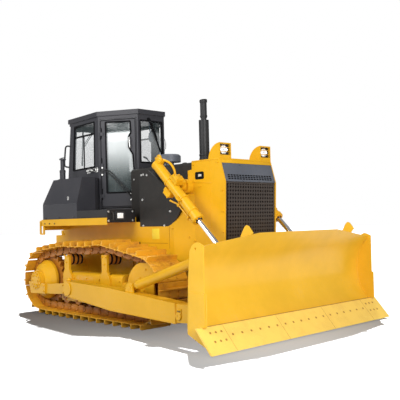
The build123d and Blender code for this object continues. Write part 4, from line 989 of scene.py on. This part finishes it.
def strut_fittings():
    """Adjusting nut and locking collar on the brace; line and clamps on the tilt cylinder."""
    foot, head = Vector((0.693, -1.405, 0.632)), Vector((2.190, -1.405, 1.078))
    aim = (head - foot).normalized()
    nut = turned("brace_nut", [(-0.028, 0.030), (-0.028, 0.070), (0.028, 0.070), (0.028, 0.030)],
                 foot + aim * 0.150, aim, 6, 0.004)
    tail = turned("brace_tail", [(-0.020, 0.060), (-0.020, 0.076), (0.020, 0.076), (0.020, 0.060)],
                  head - aim * 0.165, aim, 28, 0.003)
    put(join("brace_collars", [nut, tail]), PAINT, "blade_frame")
    left_foot, up = foot.copy(), Vector((-aim.z, 0, aim.x))
    left_foot.y = 1.405
    spots = [(left_foot + aim * 0.914 + (up * cos(a) + Vector((0, 1, 0)) * sin(a)) * 0.058, aim)
             for a in (k * pi / 3 for k in range(6))]
    bolts("tilt_gland_bolts", spots, PAINT, "blade_frame", radius=0.010, mirrored=False)
    line = pipe("tilt_line", [left_foot + aim * s + up * n for s, n in (
        (0.175, 0.070), (0.180, 0.108), (0.240, 0.112), (0.500, 0.112), (0.800, 0.112), (0.862, 0.108),
        (0.866, 0.080))], 0.011, 3)
    put(line, PAINT, "blade_frame")


# ------------------------------------------------------------------ bodywork fittings

COWL_SIDE, DECK_SIDE, TANK_SIDE = 0.640, 1.180, 1.150
DECK_FRONT = -0.235
CARRIERS, R_CARRIER = ((-0.352, 0.9787), (-1.440, 0.9461)), 0.092


def side_bolts():
    """Bolts and slots of the side panels, bolts and seams below them, deck bolts and the blank plate."""
    cowl = [((x, -COWL_SIDE, z), RIGHT) for x, z in (
        (-0.020, 1.475), (0.491, 1.475), (0.634, 1.684), (-0.030, 1.880), (-0.047, 2.268), (0.002, 2.273),
        (0.090, 2.258))]
    bolts("cowl_bolts", cowl, ZINC, radius=0.013, head=0.009)
    panel = -COWL_SIDE + 0.001
    slots = [rectangle("slot", 1, panel, (x - 0.010, z - 0.036), (x + 0.010, z + 0.036), -0.006, 0.003)
             for x, z in ((0.022, 1.878), (0.572, 1.850))]
    put(both(join("cowl_latches", slots)), RUBBER)
    deck = [((x, -DECK_SIDE, 1.545), RIGHT) for x in (-2.097, -1.941, -1.771)]
    bolts("deck_bolts", deck, BOLT_DARK, radius=0.011, head=0.006)
    frame = [((x, -COWL_SIDE, z), RIGHT) for x, z in ((0.680, 1.430), (0.330, 0.950), (-0.060, 1.060))]
    # ahead of the front seam the plates are drawn in towards the guard
    frame += [((0.960, -COWL_SIDE + 0.0718, z), (0.266, -0.964, 0)) for z in (1.560, 1.300, 1.040)]
    bolts("side_frame_bolts", frame, PAINT, radius=0.013)
    seams = [rectangle("seam", 1, panel, low, high, -0.003, 0) for low, high in (
        ((-0.083, 1.2055), (0.561, 1.2105)), ((0.600, 1.13), (0.604, 1.46)))]
    put(both(join("side_frame_seams", seams)), PAINT_DARK, smooth=0)
    blank = plate("side_plate", [(0.192, -COWL_SIDE, 1.268), (0.367, -COWL_SIDE, 1.270),
                                 (0.367, -COWL_SIDE, 1.431), (0.192, -COWL_SIDE, 1.431)], (0, -0.003, 0), 0.001)
    put(both(blank), PLATE_YELLOW)


def deck_end():
    """Bolted cross plate at the deck's front end with its lamp, handle and corner bolts."""
    x = DECK_FRONT + 0.008
    spots = [((x, y, z), AHEAD) for y in (-1.150, -0.690) for z in (1.568, 1.708)]
    bolts("deck_end_bolts", spots, ZINC, radius=0.013, head=0.009)
    lamp = block("step_lamp", (x, -1.030, 1.575), (x + 0.022, -0.850, 1.712))
    round_along(lamp, 0, 0.030, 4)
    choose(lamp, lambda f: f.normal.x > 0.9)
    inset(0.018)
    push((-0.010, 0, 0))
    put(both(soften(lamp, 0.002)), RUBBER)
    glass = rectangle("step_lamp_glass", 0, x + 0.010, (-0.995, 1.603), (-0.885, 1.684), 0.008, 0.003)
    put(both(glass), LENS)
    grip = pipe("deck_handle", [(x, -1.105, 1.700), (x + 0.045, -1.105, 1.700), (x + 0.056, -1.102, 1.680),
                                (x + 0.056, -1.100, 1.600), (x + 0.045, -1.098, 1.575), (x, -1.098, 1.575)], 0.009, 3)
    put(both(grip), PANEL_BLACK)


def tread_plate():
    """Raised ribs on the walking surface beside the cab."""
    rib = block("rib", (-0.022, -0.004, 0), (0.022, 0.004, 0.0025))
    choose(rib, lambda f: f.normal.z > 0.9)
    bpy.ops.transform.resize(value=(0.7, 0.4, 1))
    spots = []
    for i in range(22):
        for j in range(12):
            x, y = -1.070 + i * 0.038, -1.120 + j * 0.040
            if y > -0.69:
                continue
            turn = Matrix.Rotation(radians(45 if (i + j) % 2 else -45), 4, "Z")
            spots.append(Matrix.Translation((x, y, 1.740)) @ turn)
    put(both(copies("step_tread", rib, spots)), PANEL_BLACK, smooth=0)


def tank_fittings():
    """Latch, seams, feet, filler neck and cap, rear ribs and rails of the fuel tank."""
    out = Vector((0, -(2.300 - 1.870), (1.150 - 1.038))).normalized()
    put(both(copies("tank_latch", hex_bolt(radius=0.014), [facing((-1.408, -1.131, 1.945), out),
                                                          facing((-1.420, -1.123, 1.975), out)])), ZINC)
    beads = [pipe("seam", [(-2.209, -1.1485, 1.868), (-1.70, -1.1485, 1.868), (-1.122, -1.1485, 1.868)], 0.004, 2),
             pipe("seam", [(-1.122, -1.148, 1.62), (-1.122, -1.148, 1.75), (-1.122, -1.148, 1.868)], 0.004, 2)]
    put(both(join("tank_seams", beads)), CHARCOAL)
    strap = [rectangle("foot", 1, -1.1495, (x, 1.617), (x + 0.05, 1.650), -0.010, 0.003)
             for x in (-2.15, -1.70, -1.25)]
    put(both(join("tank_feet", strap)), CHARCOAL)
    x, y = -1.960, -0.895
    neck = turned("filler_collar", [(0, 0.050), (0, 0.072), (0.008, 0.078), (0.018, 0.072), (0.022, 0.052),
                                    (0.022, 0.050)], (x, y, 2.300), UP, 32, 0.002)
    clamp = turned("filler_clamp", [(0, 0.050), (0, 0.055), (0.022, 0.055), (0.022, 0.050)], (x, y, 2.440), UP, 32)
    put(join("filler_collar", [neck, clamp]), CHARCOAL)
    cap = turned("filler_cap", [(0, 0.036), (0, 0.050), (0.004, 0.056), (0.020, 0.056), (0.026, 0.050), (0.028, 0.020),
                                (0.032, 0)], (x + 0.010, y, 2.6545), (0.12, 0, 1), 32, 0.0015)
    lever = pipe("lever", [(x - 0.05, y, 2.660), (x - 0.068, y, 2.672), (x - 0.066, y, 2.690), (x + 0.01, y, 2.698),
                           (x + 0.06, y, 2.694)], 0.006, 2)
    put(join("filler_cap", [cap, lever]), CHARCOAL)
    rear = [block("louvre", (-2.2175, -0.92 + k * 0.46, 1.700), (-2.209, -0.58 + k * 0.46, 1.712)) for k in range(4)]
    rows = [Matrix.Translation((0, 0, lift * 0.03)) for lift in range(5)]
    put(join("tank_rear_ribs", [copies("ribs", soften(strip), rows) for strip in rear]), CHARCOAL)
    rails = [pipe("rail", [(-2.214, s * 0.70, 1.98), (-2.250, s * 0.70, 1.98), (-2.262, s * 0.70, 1.96),
                           (-2.262, s * 0.70, 1.74), (-2.250, s * 0.70, 1.72), (-2.214, s * 0.70, 1.72)], 0.012, 3)
             for s in (-1, 1)]
    put(join("tank_rails", rails), CHARCOAL)


def hood_fittings():
    """Handles, hinges and bolts of the hood, with the exhaust's clamps and rain flap."""
    parts = []
    for x in (-0.10, 0.42):
        parts.append(pipe("handle", [(x, -0.502, 2.245), (x, -0.532, 2.245), (x + 0.012, -0.538, 2.245),
                                     (x + 0.108, -0.538, 2.245), (x + 0.12, -0.532, 2.245),
                                     (x + 0.12, -0.502, 2.245)], 0.007, 3))
    for x in (-0.30, 0.20, 0.72):
        hinge = [(x, -0.448, 2.397), (x + 0.04, -0.448, 2.400), (x + 0.08, -0.448, 2.397)]
        parts.append(pipe("hinge", hinge, 0.010, 3))
    put(both(join("hood_handles", parts)), PANEL_BLACK)
    spots = [((x, -0.500, z), RIGHT) for x in (-0.42, 0.12, 0.60, 0.95) for z in (2.225,)]
    spots += [((x, -0.500, 1.250), RIGHT) for x in (0.62, 0.95)]
    bolts("hood_bolts", spots, ZINC, radius=0.010, head=0.007)
    stack = (0.728, 0.0)
    bands = [turned("clamp", [(-h, r - 0.001), (-h, r + 0.006), (h, r + 0.006), (h, r - 0.001)], (*stack, z),
                    UP, 40, 0.002) for z, r, h in ((2.480, 0.078, 0.014), (2.545, 0.078, 0.012),
                                                          (3.150, 0.052, 0.010))]
    lug = block("lug", (0.728 + 0.080, -0.014, 2.469), (0.728 + 0.104, 0.014, 2.491))
    bands.append(soften(lug, 0.004))
    put(join("stack_clamps", bands), STACK_BLACK)
    flap = turned("rain_flap", [(0, 0), (0, 0.058), (0.006, 0.060), (0.010, 0.055), (0.016, 0.0)], (0.730, 0, 3.396),
                  (-0.12, 0, 1), 36, 0.001)
    arm = pipe("arm", [(0.786, 0, 3.378), (0.800, 0, 3.380), (0.806, 0, 3.396), (0.776, 0, 3.408)], 0.008, 3)
    put(join("rain_flap", [flap, arm]), STACK_BLACK)


def chassis_bolts():
    """Bolts of the hub covers, idler plates, track frames and outer beams."""
    sx, sz = SPROCKET
    ring = [((sx + 0.133 * cos(a), -1.340, sz + 0.133 * sin(a)), RIGHT) for a in (k * pi / 6 for k in range(12))]
    ring += [((sx + 0.085 * cos(a), -1.350, sz + 0.085 * sin(a)), RIGHT) for a in (k * pi / 3 for k in range(6))]
    bolts("hub_bolts", ring, PAINT, radius=0.012)
    ix, iz = IDLER
    plates = [((ix + dx, -1.160, iz + dz), RIGHT) for dx, dz in ((0.050, 0.300), (-0.085, 0.165), (0.115, 0.165),
                                                                 (0.0, 0.0), (-0.05, 0.060))]
    plates += [((x, -1.136, 0.330), RIGHT) for x in (-1.58, -1.366, -1.018, -0.670, -0.322, 0.026, 0.27)]
    plates += [((x, -1.162, z), RIGHT) for cx in (-0.352, -1.440) for x in (cx - 0.05, cx + 0.05)
               for z in (0.560, 1.010)]
    plates += [((cx, -1.162, 0.90), RIGHT) for cx in (-0.352, -1.440)]
    bolts("frame_bolts", plates, PAINT, radius=0.012)
    beam = [((x, -1.330, z), RIGHT) for x, z in ((-1.91, 0.495), (-1.91, 0.405))]
    beam += [((x, -1.304, z), RIGHT) for x, z in ((-1.33, 0.535), (-1.33, 0.410))]
    bolts("beam_bolts", beam, PAINT, radius=0.013)


def frame_covers():
    """Folded covers over the recoil springs, between the carrier roller posts."""
    cover = block("frame_covers", (-1.385, -1.128, 0.560), (0.060, -0.900, 0.742))
    round_along(cover, 0, 0.055, 5, lambda end: end.z > 0.7)
    seams = [pipe("seam", [(x, -1.129, 0.58), (x, -1.129, 0.62), (x, -1.129, 0.684)], 0.003, 2)
             for x in (-1.10, -0.70, -0.10)]
    put(both(join("frame_covers", [soften(cover, 0.006), *seams])), PAINT)
    bolts("cover_bolts", [((x, -1.128, 0.650), RIGHT) for x in (-1.26, -0.90, -0.54, 0.0)], PAINT, radius=0.012)
    # near-black bands round the carrier rollers: painted shade for the rollers' shaded flanges
    rings = [turned("ring", [(-0.018, R_CARRIER), (-0.018, R_CARRIER + 0.002), (0.018, R_CARRIER + 0.002),
                             (0.018, R_CARRIER)], (x, y, z), RIGHT, 40)
             for x, z in CARRIERS for y in (-1.075, -0.990, -0.915)]
    put(both(join("carrier_shade_bands", rings)), GASKET)


def roller_shafts():
    """Bosses of the lower rollers' shafts in the side walls."""
    made = [turned("shaft", [(0, 0), (0, 0.046), (0.007, 0.052), (0.014, 0.046), (0.014, 0.022), (0.010, 0.018),
                             (0.010, 0)], (x, -1.1355, 0.315), RIGHT, 20) for x in (
        -1.540, -1.192, -0.844, -0.496, -0.148, 0.200)]
    put(both(join("roller_shafts", made)), TRACK_SHADE_AND_GRIME)


# ------------------------------------------------------------------ cab

REAR_CORNER, DOOR_POST = Vector((-2.222, -0.575)), Vector((-1.202, -0.650))
FRONT_CORNER = Vector((-0.572, -0.285))


def wall_frame(start, end):
    """Place matrix of a cab wall: x along it, y up, z outward."""
    along = (end - start).normalized()
    return Matrix(((along.x, 0, along.y, start.x), (along.y, 0, -along.x, start.y), (0, 1, 0, 0), (0, 0, 0, 1)))


DOOR = wall_frame(DOOR_POST, FRONT_CORNER)
QUARTER = wall_frame(REAR_CORNER, DOOR_POST)
FRONT = Matrix(((0, 0, 1, -0.572), (1, 0, 0, 0), (0, 1, 0, 0), (0, 0, 0, 1)))
REAR = Matrix(((0, 0.1235, -0.9923, -2.304), (-1, 0, 0, 0), (0, 0.9923, 0.1235, 2.360), (0, 0, 0, 1)))
# window corners: distance along the wall, height
DOOR_PANE = ((0.147, 2.040), (0.612, 2.040), (0.645, 2.400), (0.632, 2.670), (0.558, 2.790), (0.558, 2.975),
             (0.602, 3.035), (0.590, 3.228), (0.140, 3.240))
DOOR_EDGE = ((0.050, 1.806), (0.678, 1.806), (0.678, 3.269), (0.050, 3.269))
QUARTER_PANE = ((0.120, 2.488), (0.885, 2.500), (0.900, 3.268), (0.196, 3.268))
FRONT_PANE = ((-0.235, 2.535), (0.235, 2.535), (0.235, 3.240), (-0.235, 3.240))
REAR_PANE = ((-0.470, 0.130), (0.470, 0.130), (0.470, 0.880), (-0.470, 0.880))


def gasket(name, corners, radius=0.014, corner=0.030):
    """Rubber seal pressed along a closed line of straight runs with rounded corners."""
    route = []
    for i, here in enumerate(corners):
        here = Vector(here)
        for other, order in ((Vector(corners[i - 1]), (2.2, 1)), (Vector(corners[(i + 1) % len(corners)]), (1, 2.2))):
            way = (other - here).normalized()
            steps = [here + way * corner * k for k in order]
            route += steps if order[0] > 1 else [here, *steps]
    return pipe(name, [(u, v, 0.0) for u, v in route], radius, 3, closed=True)


def window_seals():
    """Rubber seals of every pane and door edge, and the bars of the quarter windows."""
    rail = block("rail", (0.165, 3.060, -0.030), (0.892, 3.090, -0.008))
    stile = block("stile", (0.478, 2.500, -0.030), (0.500, 3.062, -0.012))
    put(join("quarter_seals", [gasket("seal", QUARTER_PANE), soften(rail, 0.004), soften(stile, 0.003)]), GASKET,
        place=QUARTER)
    put(other_side(bpy.data.objects["quarter_seals"], "quarter_seals_left"), GASKET)
    put(gasket("front_seal", FRONT_PANE), GASKET, place=FRONT)
    put(gasket("rear_seal", REAR_PANE), GASKET, place=REAR)
    for side, turn in (("right", Matrix()), ("left", MIRROR)):
        seals = [gasket("seal", DOOR_PANE), gasket("edge", DOOR_EDGE, 0.006, 0.030)]
        put(join(f"door_seal_{side}", seals), GASKET, "door_" + side, place=turn @ DOOR)


def door_fittings(side, turn):
    """Hinge leaves, outer handle, and diagonal double grab rail with bolted ends of one door."""
    body, place = "door_" + side, turn @ DOOR
    leaves = [soften(block("leaf", (0.052, z0, -0.004), (0.070, z1, 0.006)), 0.003)
              for z0, z1 in ((1.924, 2.114), (2.466, 2.633), (2.965, 3.145))]
    put(join(f"door_leaves_{side}", leaves), GASKET, body, place=place)
    # close to the door where it passes the tank's top when the door stands open
    route = ((0.075, 2.405, 0.010), (0.130, 2.412, 0.014), (0.190, 2.380, 0.0125), (0.262, 2.312, 0.0125),
             (0.300, 2.275, 0.020), (0.350, 2.224, 0.036), (0.420, 2.154, 0.045), (0.520, 2.054, 0.045),
             (0.580, 1.992, 0.028), (0.600, 1.970, 0.010))
    rail = [pipe("rail", [(u + d, v + d, w) for u, v, w in route], 0.009, 4) for d in (-0.004, 0.024)]
    for u, v in ((0.068, 2.407), (0.590, 1.968)):
        foot = block("foot", (u - 0.022, v - 0.075, 0.0), (u + 0.022, v + 0.075, 0.009))
        rail.append(soften(foot, 0.008, 3))
    put(join(f"door_rail_{side}", rail), RUBBER, body, place=place)
    spots = [facing((u, v, 0.009), UP) for u, v in (
        (0.069, 2.465), (0.066, 2.348), (0.590, 2.022), (0.588, 1.914))]
    put(copies(f"door_rail_bolts_{side}", hex_bolt(radius=0.011), spots), ZINC, body, place=place)
    grip = pipe("grip", [(0.584, 2.966, 0.004), (0.584, 2.964, 0.034), (0.585, 2.945, 0.044), (0.588, 2.870, 0.046),
                         (0.592, 2.805, 0.044), (0.593, 2.782, 0.034), (0.593, 2.780, 0.004)], 0.010, 4)
    put(join(f"door_grip_{side}", [grip]), ZINC, body, place=place)


def wiper(name, pivot, centre, blade, place, body="chassis"):
    """Pantograph wiper: motor cap, two parallel arms and a blade standing just off the glass."""
    (pu, pv), (cu, cv) = pivot, centre
    across = Vector((cv - pv, pu - cu)).normalized() * 0.014
    profile = [(0, 0), (0, 0.026), (0.020, 0.024), (0.026, 0.016), (0.026, 0)]
    parts = [turned("cap", profile, (pu, pv, 0.0), UP, 20)]
    for s in (-1, 1):
        du, dv = across * s
        parts.append(pipe("arm", [(pu + du, pv + dv, 0.024), ((pu + cu) / 2 + du, (pv + cv) / 2 + dv, 0.034),
                                  (cu + du, cv + dv, 0.020)], 0.009, 2))
    way = Vector((*blade, 0))
    rubber = block("rubber", (-0.012, -way.length, 0.004), (0.012, way.length, 0.022))
    soften(rubber, 0.004, 2)
    turn = Vector((0, 1, 0)).rotation_difference(way).to_matrix().to_4x4()
    rubber.data.transform(Matrix.Translation((cu, cv, 0)) @ turn)
    put(join(name, [*parts, rubber]), GASKET, body, place=place)


def grab_handles():
    """Grab handle at each rear corner of the cab."""
    piece = pipe("cab_handles", [(0.060, 2.929, -0.012), (-0.060, 2.960, 0.008), (-0.140, 2.950, 0.014),
                                 (-0.158, 2.890, 0.014), (-0.180, 2.760, 0.014), (-0.202, 2.640, 0.014),
                                 (-0.180, 2.575, 0.012), (0.000, 2.560, -0.012)], 0.015, 4)
    piece.data.transform(QUARTER)
    put(both(piece), RUBBER)


def door_catch():
    """Plated catch that holds the open door, on each quarter panel."""
    parts = []
    for u0, u1 in ((0.636, 0.735), (0.930, 0.995)):
        base = block("base", (u0, 2.398, 0.0), (u1, 2.482, 0.010))
        parts.append(soften(base, 0.006, 2))
    profile = [(0, 0), (0, 0.012), (0.008, 0.018), (0.020, 0.018), (0.026, 0.010), (0.026, 0)]
    parts += [turned("boss", profile, (u, 2.440, 0.010), UP, 16) for u in (0.662, 0.710)]
    parts.append(turned("barrel", [(0, 0), (0, 0.020), (0.006, 0.026), (0.070, 0.026), (0.078, 0.016), (0.078, 0)],
                        (0.780, 2.440, 0.030), AHEAD, 20))
    loop = [(0.735, 2.440, 0.030), (0.790, 2.440, 0.030), (0.860, 2.440, 0.030), (0.900, 2.462, 0.034),
            (0.955, 2.470, 0.034), (0.985, 2.440, 0.030), (0.955, 2.412, 0.034), (0.900, 2.420, 0.034),
            (0.860, 2.440, 0.030)]
    parts.append(pipe("loop", loop, 0.007, 3))
    piece = join("door_catches", parts)
    piece.data.transform(QUARTER)
    put(both(piece), ZINC)
    spots = [QUARTER @ facing((u, v, 0.0), UP) for u, v in ((0.800, 2.278), (0.800, 2.031), (0.795, 1.856))]
    put(both(copies("quarter_bolts", hex_bolt(radius=0.010), spots)), ZINC)


def roof_fittings():
    """Work lamps under the roof's rear edge."""
    x, sides = -2.255, (-0.42, 0.42)
    lamps = [soften(block("shell", (x, y - 0.075, 3.215), (-2.185, y + 0.075, 3.300)), 0.012, 3) for y in sides]
    put(join("rear_lamps", lamps), RUBBER)
    panes = [rectangle("pane", 0, x, (y - 0.060, 3.225), (y + 0.060, 3.288), -0.004, 0.001) for y in sides]
    put(join("rear_lamp_glass", panes), LENS)


SEAM_WIDTH, SEAM_DEPTH = 0.010, 0.16  # metres, and the share of the pad's half thickness
MOST_PUFF = 0.018


def cushion(name, low, high, seams):
    """Padded block: crowned by pressure, then creased where its panels are sewn."""
    low, high = Vector(low), Vector(high)
    pad = block(name, low, high)
    soften(pad, min(high - low) * 0.28, 3)
    modify(pad, "REMESH", mode="VOXEL", voxel_size=0.012)
    rest = [v.co.copy() for v in pad.data.vertices]
    alone(pad)
    cloth = pad.modifiers.new("cloth", "CLOTH")
    cloth.settings.use_pressure = True
    cloth.settings.uniform_pressure_force = 4.0
    cloth.settings.effector_weights.gravity = 0.0
    cloth.settings.quality = 6
    for frame_number in range(1, 19):
        bpy.context.scene.frame_set(frame_number)
    bpy.ops.object.modifier_apply(modifier="cloth")
    bpy.context.scene.frame_set(1)
    for vertex, start in zip(pad.data.vertices, rest):
        moved = vertex.co - start
        if moved.length > MOST_PUFF:
            vertex.co = start + moved * (MOST_PUFF / moved.length)
    size = high - low
    thin = min(range(3), key=lambda i: size[i])
    middle = (low + high)[thin] / 2
    for vertex in pad.data.vertices:
        for axis, at in seams:
            near = exp(-((vertex.co[axis] - at) / SEAM_WIDTH) ** 2)
            vertex.co[thin] += (middle - vertex.co[thin]) * SEAM_DEPTH * near
    return pad


def seat():
    """Suspension seat: sewn cushions on a moulded shell, with arm rests and bellows."""
    base = cushion("seat_cushion", (-1.470, -0.235, 2.105), (-0.975, 0.235, 2.235),
                   ((1, -0.13), (1, 0.13), (0, -1.10)))
    back = cushion("seat_back", (-1.545, -0.225, 2.245), (-1.430, 0.225, 2.780),
                   ((1, -0.12), (1, 0.12), (2, 2.47)))
    hinge = Matrix.Translation((-1.50, 0, 2.25))
    lean = hinge @ Matrix.Rotation(radians(-6), 4, "Y") @ hinge.inverted()
    for piece in (base, back):
        put(piece, CLOTH, place=None if piece is base else lean)
        modify(piece, "SUBSURF", levels=1, render_levels=1)
        alone(piece)
        bpy.ops.object.shade_smooth()
    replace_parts(base, "seat")
    shell = block("seat_shell", (-1.470, -0.225, 2.075), (-0.985, 0.225, 2.110))
    soften(shell, 0.014, 3)
    rear = block("rear", (-1.575, -0.205, 2.12), (-1.555, 0.205, 2.76))
    soften(rear, 0.008, 3)
    rear.data.transform(lean)
    folds = turned("folds", [(0, 0), *[(0.02 + k * 0.022, 0.20 if k % 2 else 0.165) for k in range(13)], (0.298, 0)],
                   (-1.24, 0, 1.777), UP, 24)
    arms = []
    for s in (-1, 1):
        rest = block("rest", (-1.42, s * 0.285 - 0.035, 2.375), (-1.10, s * 0.285 + 0.035, 2.425))
        arms.append(soften(rest, 0.016, 3))
        arms.append(pipe("stay", [(-1.46, s * 0.25, 2.22), (-1.47, s * 0.275, 2.28), (-1.44, s * 0.285, 2.36),
                                  (-1.38, s * 0.285, 2.385)], 0.013, 3))
    put(join("seat_shell", [shell, rear, folds, *arms]), PLASTIC)


def controls():
    """Levers, knobs and dials on the consoles, the steering levers and floor pedals."""
    sticks, knobs, pedals, z = [], [], [], 2.33
    knob = [(-0.02, 0), (-0.02, 0.012), (0.0, 0.020), (0.016, 0.024), (0.030, 0.018), (0.036, 0)]
    boot = [(0, 0), (0, 0.034), (0.010, 0.026), (0.016, 0.030), (0.024, 0.018), (0.034, 0.020), (0.044, 0.010),
            (0.044, 0)]
    for x, y, lean in ((-1.12, -0.36, 0.02), (-1.24, -0.36, -0.01), (-1.10, 0.36, 0.03), (-1.22, 0.36, 0.0),
                       (-1.32, 0.36, -0.02)):
        top = (x + lean * 2, y, z + 0.13)
        sticks.append(pipe("stick", [(x, y, z), (x, y, z + 0.04), (x + lean, y, z + 0.09), top], 0.007, 3))
        knobs.append(turned("knob", knob, top, (lean, 0, 0.2), 16))
        sticks.append(turned("boot", boot, (x, y, z - 0.002), UP, 16))
    for y in (-0.10, 0.10):
        lever = [(-0.72, y, 2.46), (-0.74, y, 2.53), (-0.79, y, 2.60), (-0.85, y, 2.64)]
        sticks.append(pipe("lever", lever, 0.010, 3))
        knobs.append(turned("grip", [(-0.05, 0), (-0.05, 0.014), (0.0, 0.018), (0.05, 0.016), (0.056, 0)],
                            (-0.87, y, 2.65), (-0.9, 0, 0.35), 16))
    bezels = [turned("dial", [(0, 0), (0, 0.038), (0.010, 0.042), (0.014, 0.036), (0.010, 0.033), (0.008, 0)],
                     (-0.712, y, 2.470), (-0.3, 0, 1), 24) for y in (-0.14, -0.05, 0.05, 0.14)]
    for y in (-0.16, 0.0, 0.16):
        pad = block("pedal", (-0.93, y - 0.05, 1.86), (-0.91, y + 0.05, 1.98))
        pedals.append(soften(pad, 0.006, 2))
        stalk = [(-0.905, y, 1.92), (-0.86, y, 1.93), (-0.80, y, 1.88), (-0.78, y, 1.82)]
        pedals.append(pipe("stalk", stalk, 0.010, 3))
    put(join("levers", [*sticks, *pedals]), ZINC_DARK)
    put(join("knobs", [*knobs, *bezels]), PLASTIC)
    # fan hung from the roof's front
    shell = turned("shell", [(-0.030, 0), (-0.030, 0.045), (-0.018, 0.080), (0.012, 0.090), (0.018, 0.084),
                             (0.012, 0.078), (0.010, 0)], (-0.700, 0.100, 2.995), (-1, -0.55, 0.1), 28)
    hanger = [(-0.66, 0.02, 3.30), (-0.665, 0.03, 3.20), (-0.68, 0.06, 3.09), (-0.695, 0.09, 3.02)]
    stay = pipe("stay", hanger, 0.009, 3)
    put(join("cab_fan", [shell, stay]), FAN_BLUE)


# ------------------------------------------------------------------ stage


SKY = 0.30
SUN = 1.2
FLOOR_SUN = 16.0
FLOOR_FILL = 235
FLOOR_SEEN, FLOOR_BOUNCE = 0.36, 0.11


def floor_and_backdrop():
    """Pale floor that keeps the machine's shadow; the machine sees it darker than the camera does."""
    floor = begin("plane", "floor", size=160)
    f = Finish("pale_floor")
    rays = f.tree.nodes.new("ShaderNodeLightPath")
    seen = f.node("ShaderNodeMath", {"operation": "MAXIMUM"},
                  {0: Wire(f, rays.outputs["Is Camera Ray"]), 1: Wire(f, rays.outputs["Is Glossy Ray"])})
    grain = f.noise(3.0, 4.0) * 0.02
    shade = f.node("ShaderNodeMix", {"data_type": "RGBA"}, {0: seen, 6: (FLOOR_BOUNCE,) * 3, 7: (FLOOR_SEEN,) * 3},
                   outlet=2)
    f.set(Base_Color=shade, Roughness=grain + 0.9, Specular_IOR_Level=0.0)
    floor.data.materials.append(f.material)
    return floor


def lights(floor):
    """Soft surroundings, a high sun from behind, two large soft boxes, and two lamps for the floor alone."""
    world = bpy.context.scene.world or bpy.data.worlds.new("studio")
    bpy.context.scene.world = world
    world.use_nodes = True
    tree = world.node_tree
    tree.nodes.clear()
    out, mix, soft, white, rays, straight = (tree.nodes.new("ShaderNode" + kind) for kind in (
        "OutputWorld", "MixShader", "Background", "Background", "LightPath", "Math"))
    for node, strength in ((soft, SKY), (white, 1.0)):
        node.inputs["Strength"].default_value = strength
        node.inputs["Color"].default_value = (1, 1, 1, 1)
    straight.operation = "MAXIMUM"
    for start, end in ((rays.outputs["Is Camera Ray"], straight.inputs[0]),
                       (rays.outputs["Is Transmission Ray"], straight.inputs[1]),
                       (straight.outputs[0], mix.inputs[0]), (soft.outputs[0], mix.inputs[1]),
                       (white.outputs[0], mix.inputs[2]), (mix.outputs[0], out.inputs["Surface"])):
        tree.links.new(start, end)
    on_floor, off_floor = bpy.data.collections.new("floor_only"), bpy.data.collections.new("not_the_floor")
    on_floor.objects.link(floor)
    off_floor.objects.link(floor)
    off_floor.collection_objects[0].light_linking.link_state = "EXCLUDE"
    for kind, name, energy, size, place, aim in (
        ("SUN", "high_sun", SUN, radians(3), (-4.2, 4.2, 10.0), (0.0, 0.0, 0.0)),
        ("SUN", "floor_sun", FLOOR_SUN, radians(1.5), (-4.2, 4.2, 10.0), (0.0, 0.0, 0.0)),
        ("AREA", "floor_fill", FLOOR_FILL, 1.0, (3.8, -1.2, 4.2), (3.8, -1.2, 0.0)),
        ("AREA", "front_softbox", 720, 5.0, (9.5, -4.0, 3.4), (1.5, 0.0, 0.9)),
        ("AREA", "side_softbox", 590, 5.0, (0.0, -8.6, 6.2), (-0.5, -1.0, 1.1)),
    ):
        bpy.ops.object.light_add(type=kind, location=place)
        lamp = bpy.context.object
        lamp.name, lamp.data.energy = name, energy
        lamp.data.use_shadow = name != "floor_fill"
        lamp.light_linking.receiver_collection = on_floor if name.startswith("floor") else off_floor
        if kind == "SUN":
            lamp.data.angle = size
        else:
            lamp.data.size = size
        lamp.rotation_euler = (Vector(aim) - Vector(place)).to_track_quat("-Z", "Y").to_euler()


def camera():
    """The viewpoint: ahead of the blade on the machine's right, at eye height."""
    yaw, pitch, roll = 2.3879, 0.0316, -0.0246
    d = Vector((cos(pitch) * cos(yaw), cos(pitch) * sin(yaw), sin(pitch)))
    right = d.cross(Vector(UP)).normalized()
    up = right.cross(d)
    right, up = cos(roll) * right + sin(roll) * up, cos(roll) * up - sin(roll) * right
    bpy.ops.object.camera_add(location=(7.9466, -6.8552, 1.5342))
    cam = bpy.context.object
    cam.rotation_euler = Matrix((right, up, -d)).transposed().to_euler()
    cam.data.sensor_width, cam.data.lens = 36.0, 58.04
    cam.data.shift_x, cam.data.shift_y = -0.0048, 0.0005
    cam.data.clip_end = 200
    bpy.context.scene.camera = cam


def build():
    """Every sub-part in turn."""
    dress_nodes()
    tracks()
    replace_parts(diamond_mesh(), "grille")
    mesh_rim()
    slotted_panel()
    radiator_core()
    guard_trim()
    front_lamps()
    cutting_edge_fittings()
    blade_welds()
    arm_fittings()
    barrel_pieces("right", False)
    barrel_pieces("left", True)
    strut_fittings()
    side_bolts()
    deck_end()
    tread_plate()
    tank_fittings()
    hood_fittings()
    chassis_bolts()
    roller_shafts()
    frame_covers()
    window_seals()
    for side, turn in (("right", Matrix()), ("left", MIRROR)):
        door_fittings(side, turn)
    wiper("front_wiper", (-0.060, 3.272), (0.100, 2.930), (0.125, -0.285), FRONT)
    wiper("rear_wiper", (0.060, 0.905), (0.290, 0.560), (0.010, 0.320), REAR)
    grab_handles()
    door_catch()
    roof_fittings()
    seat()
    controls()
    lights(floor_and_backdrop())
    camera()


build()
bpy.context.scene.view_settings.view_transform = "Standard"
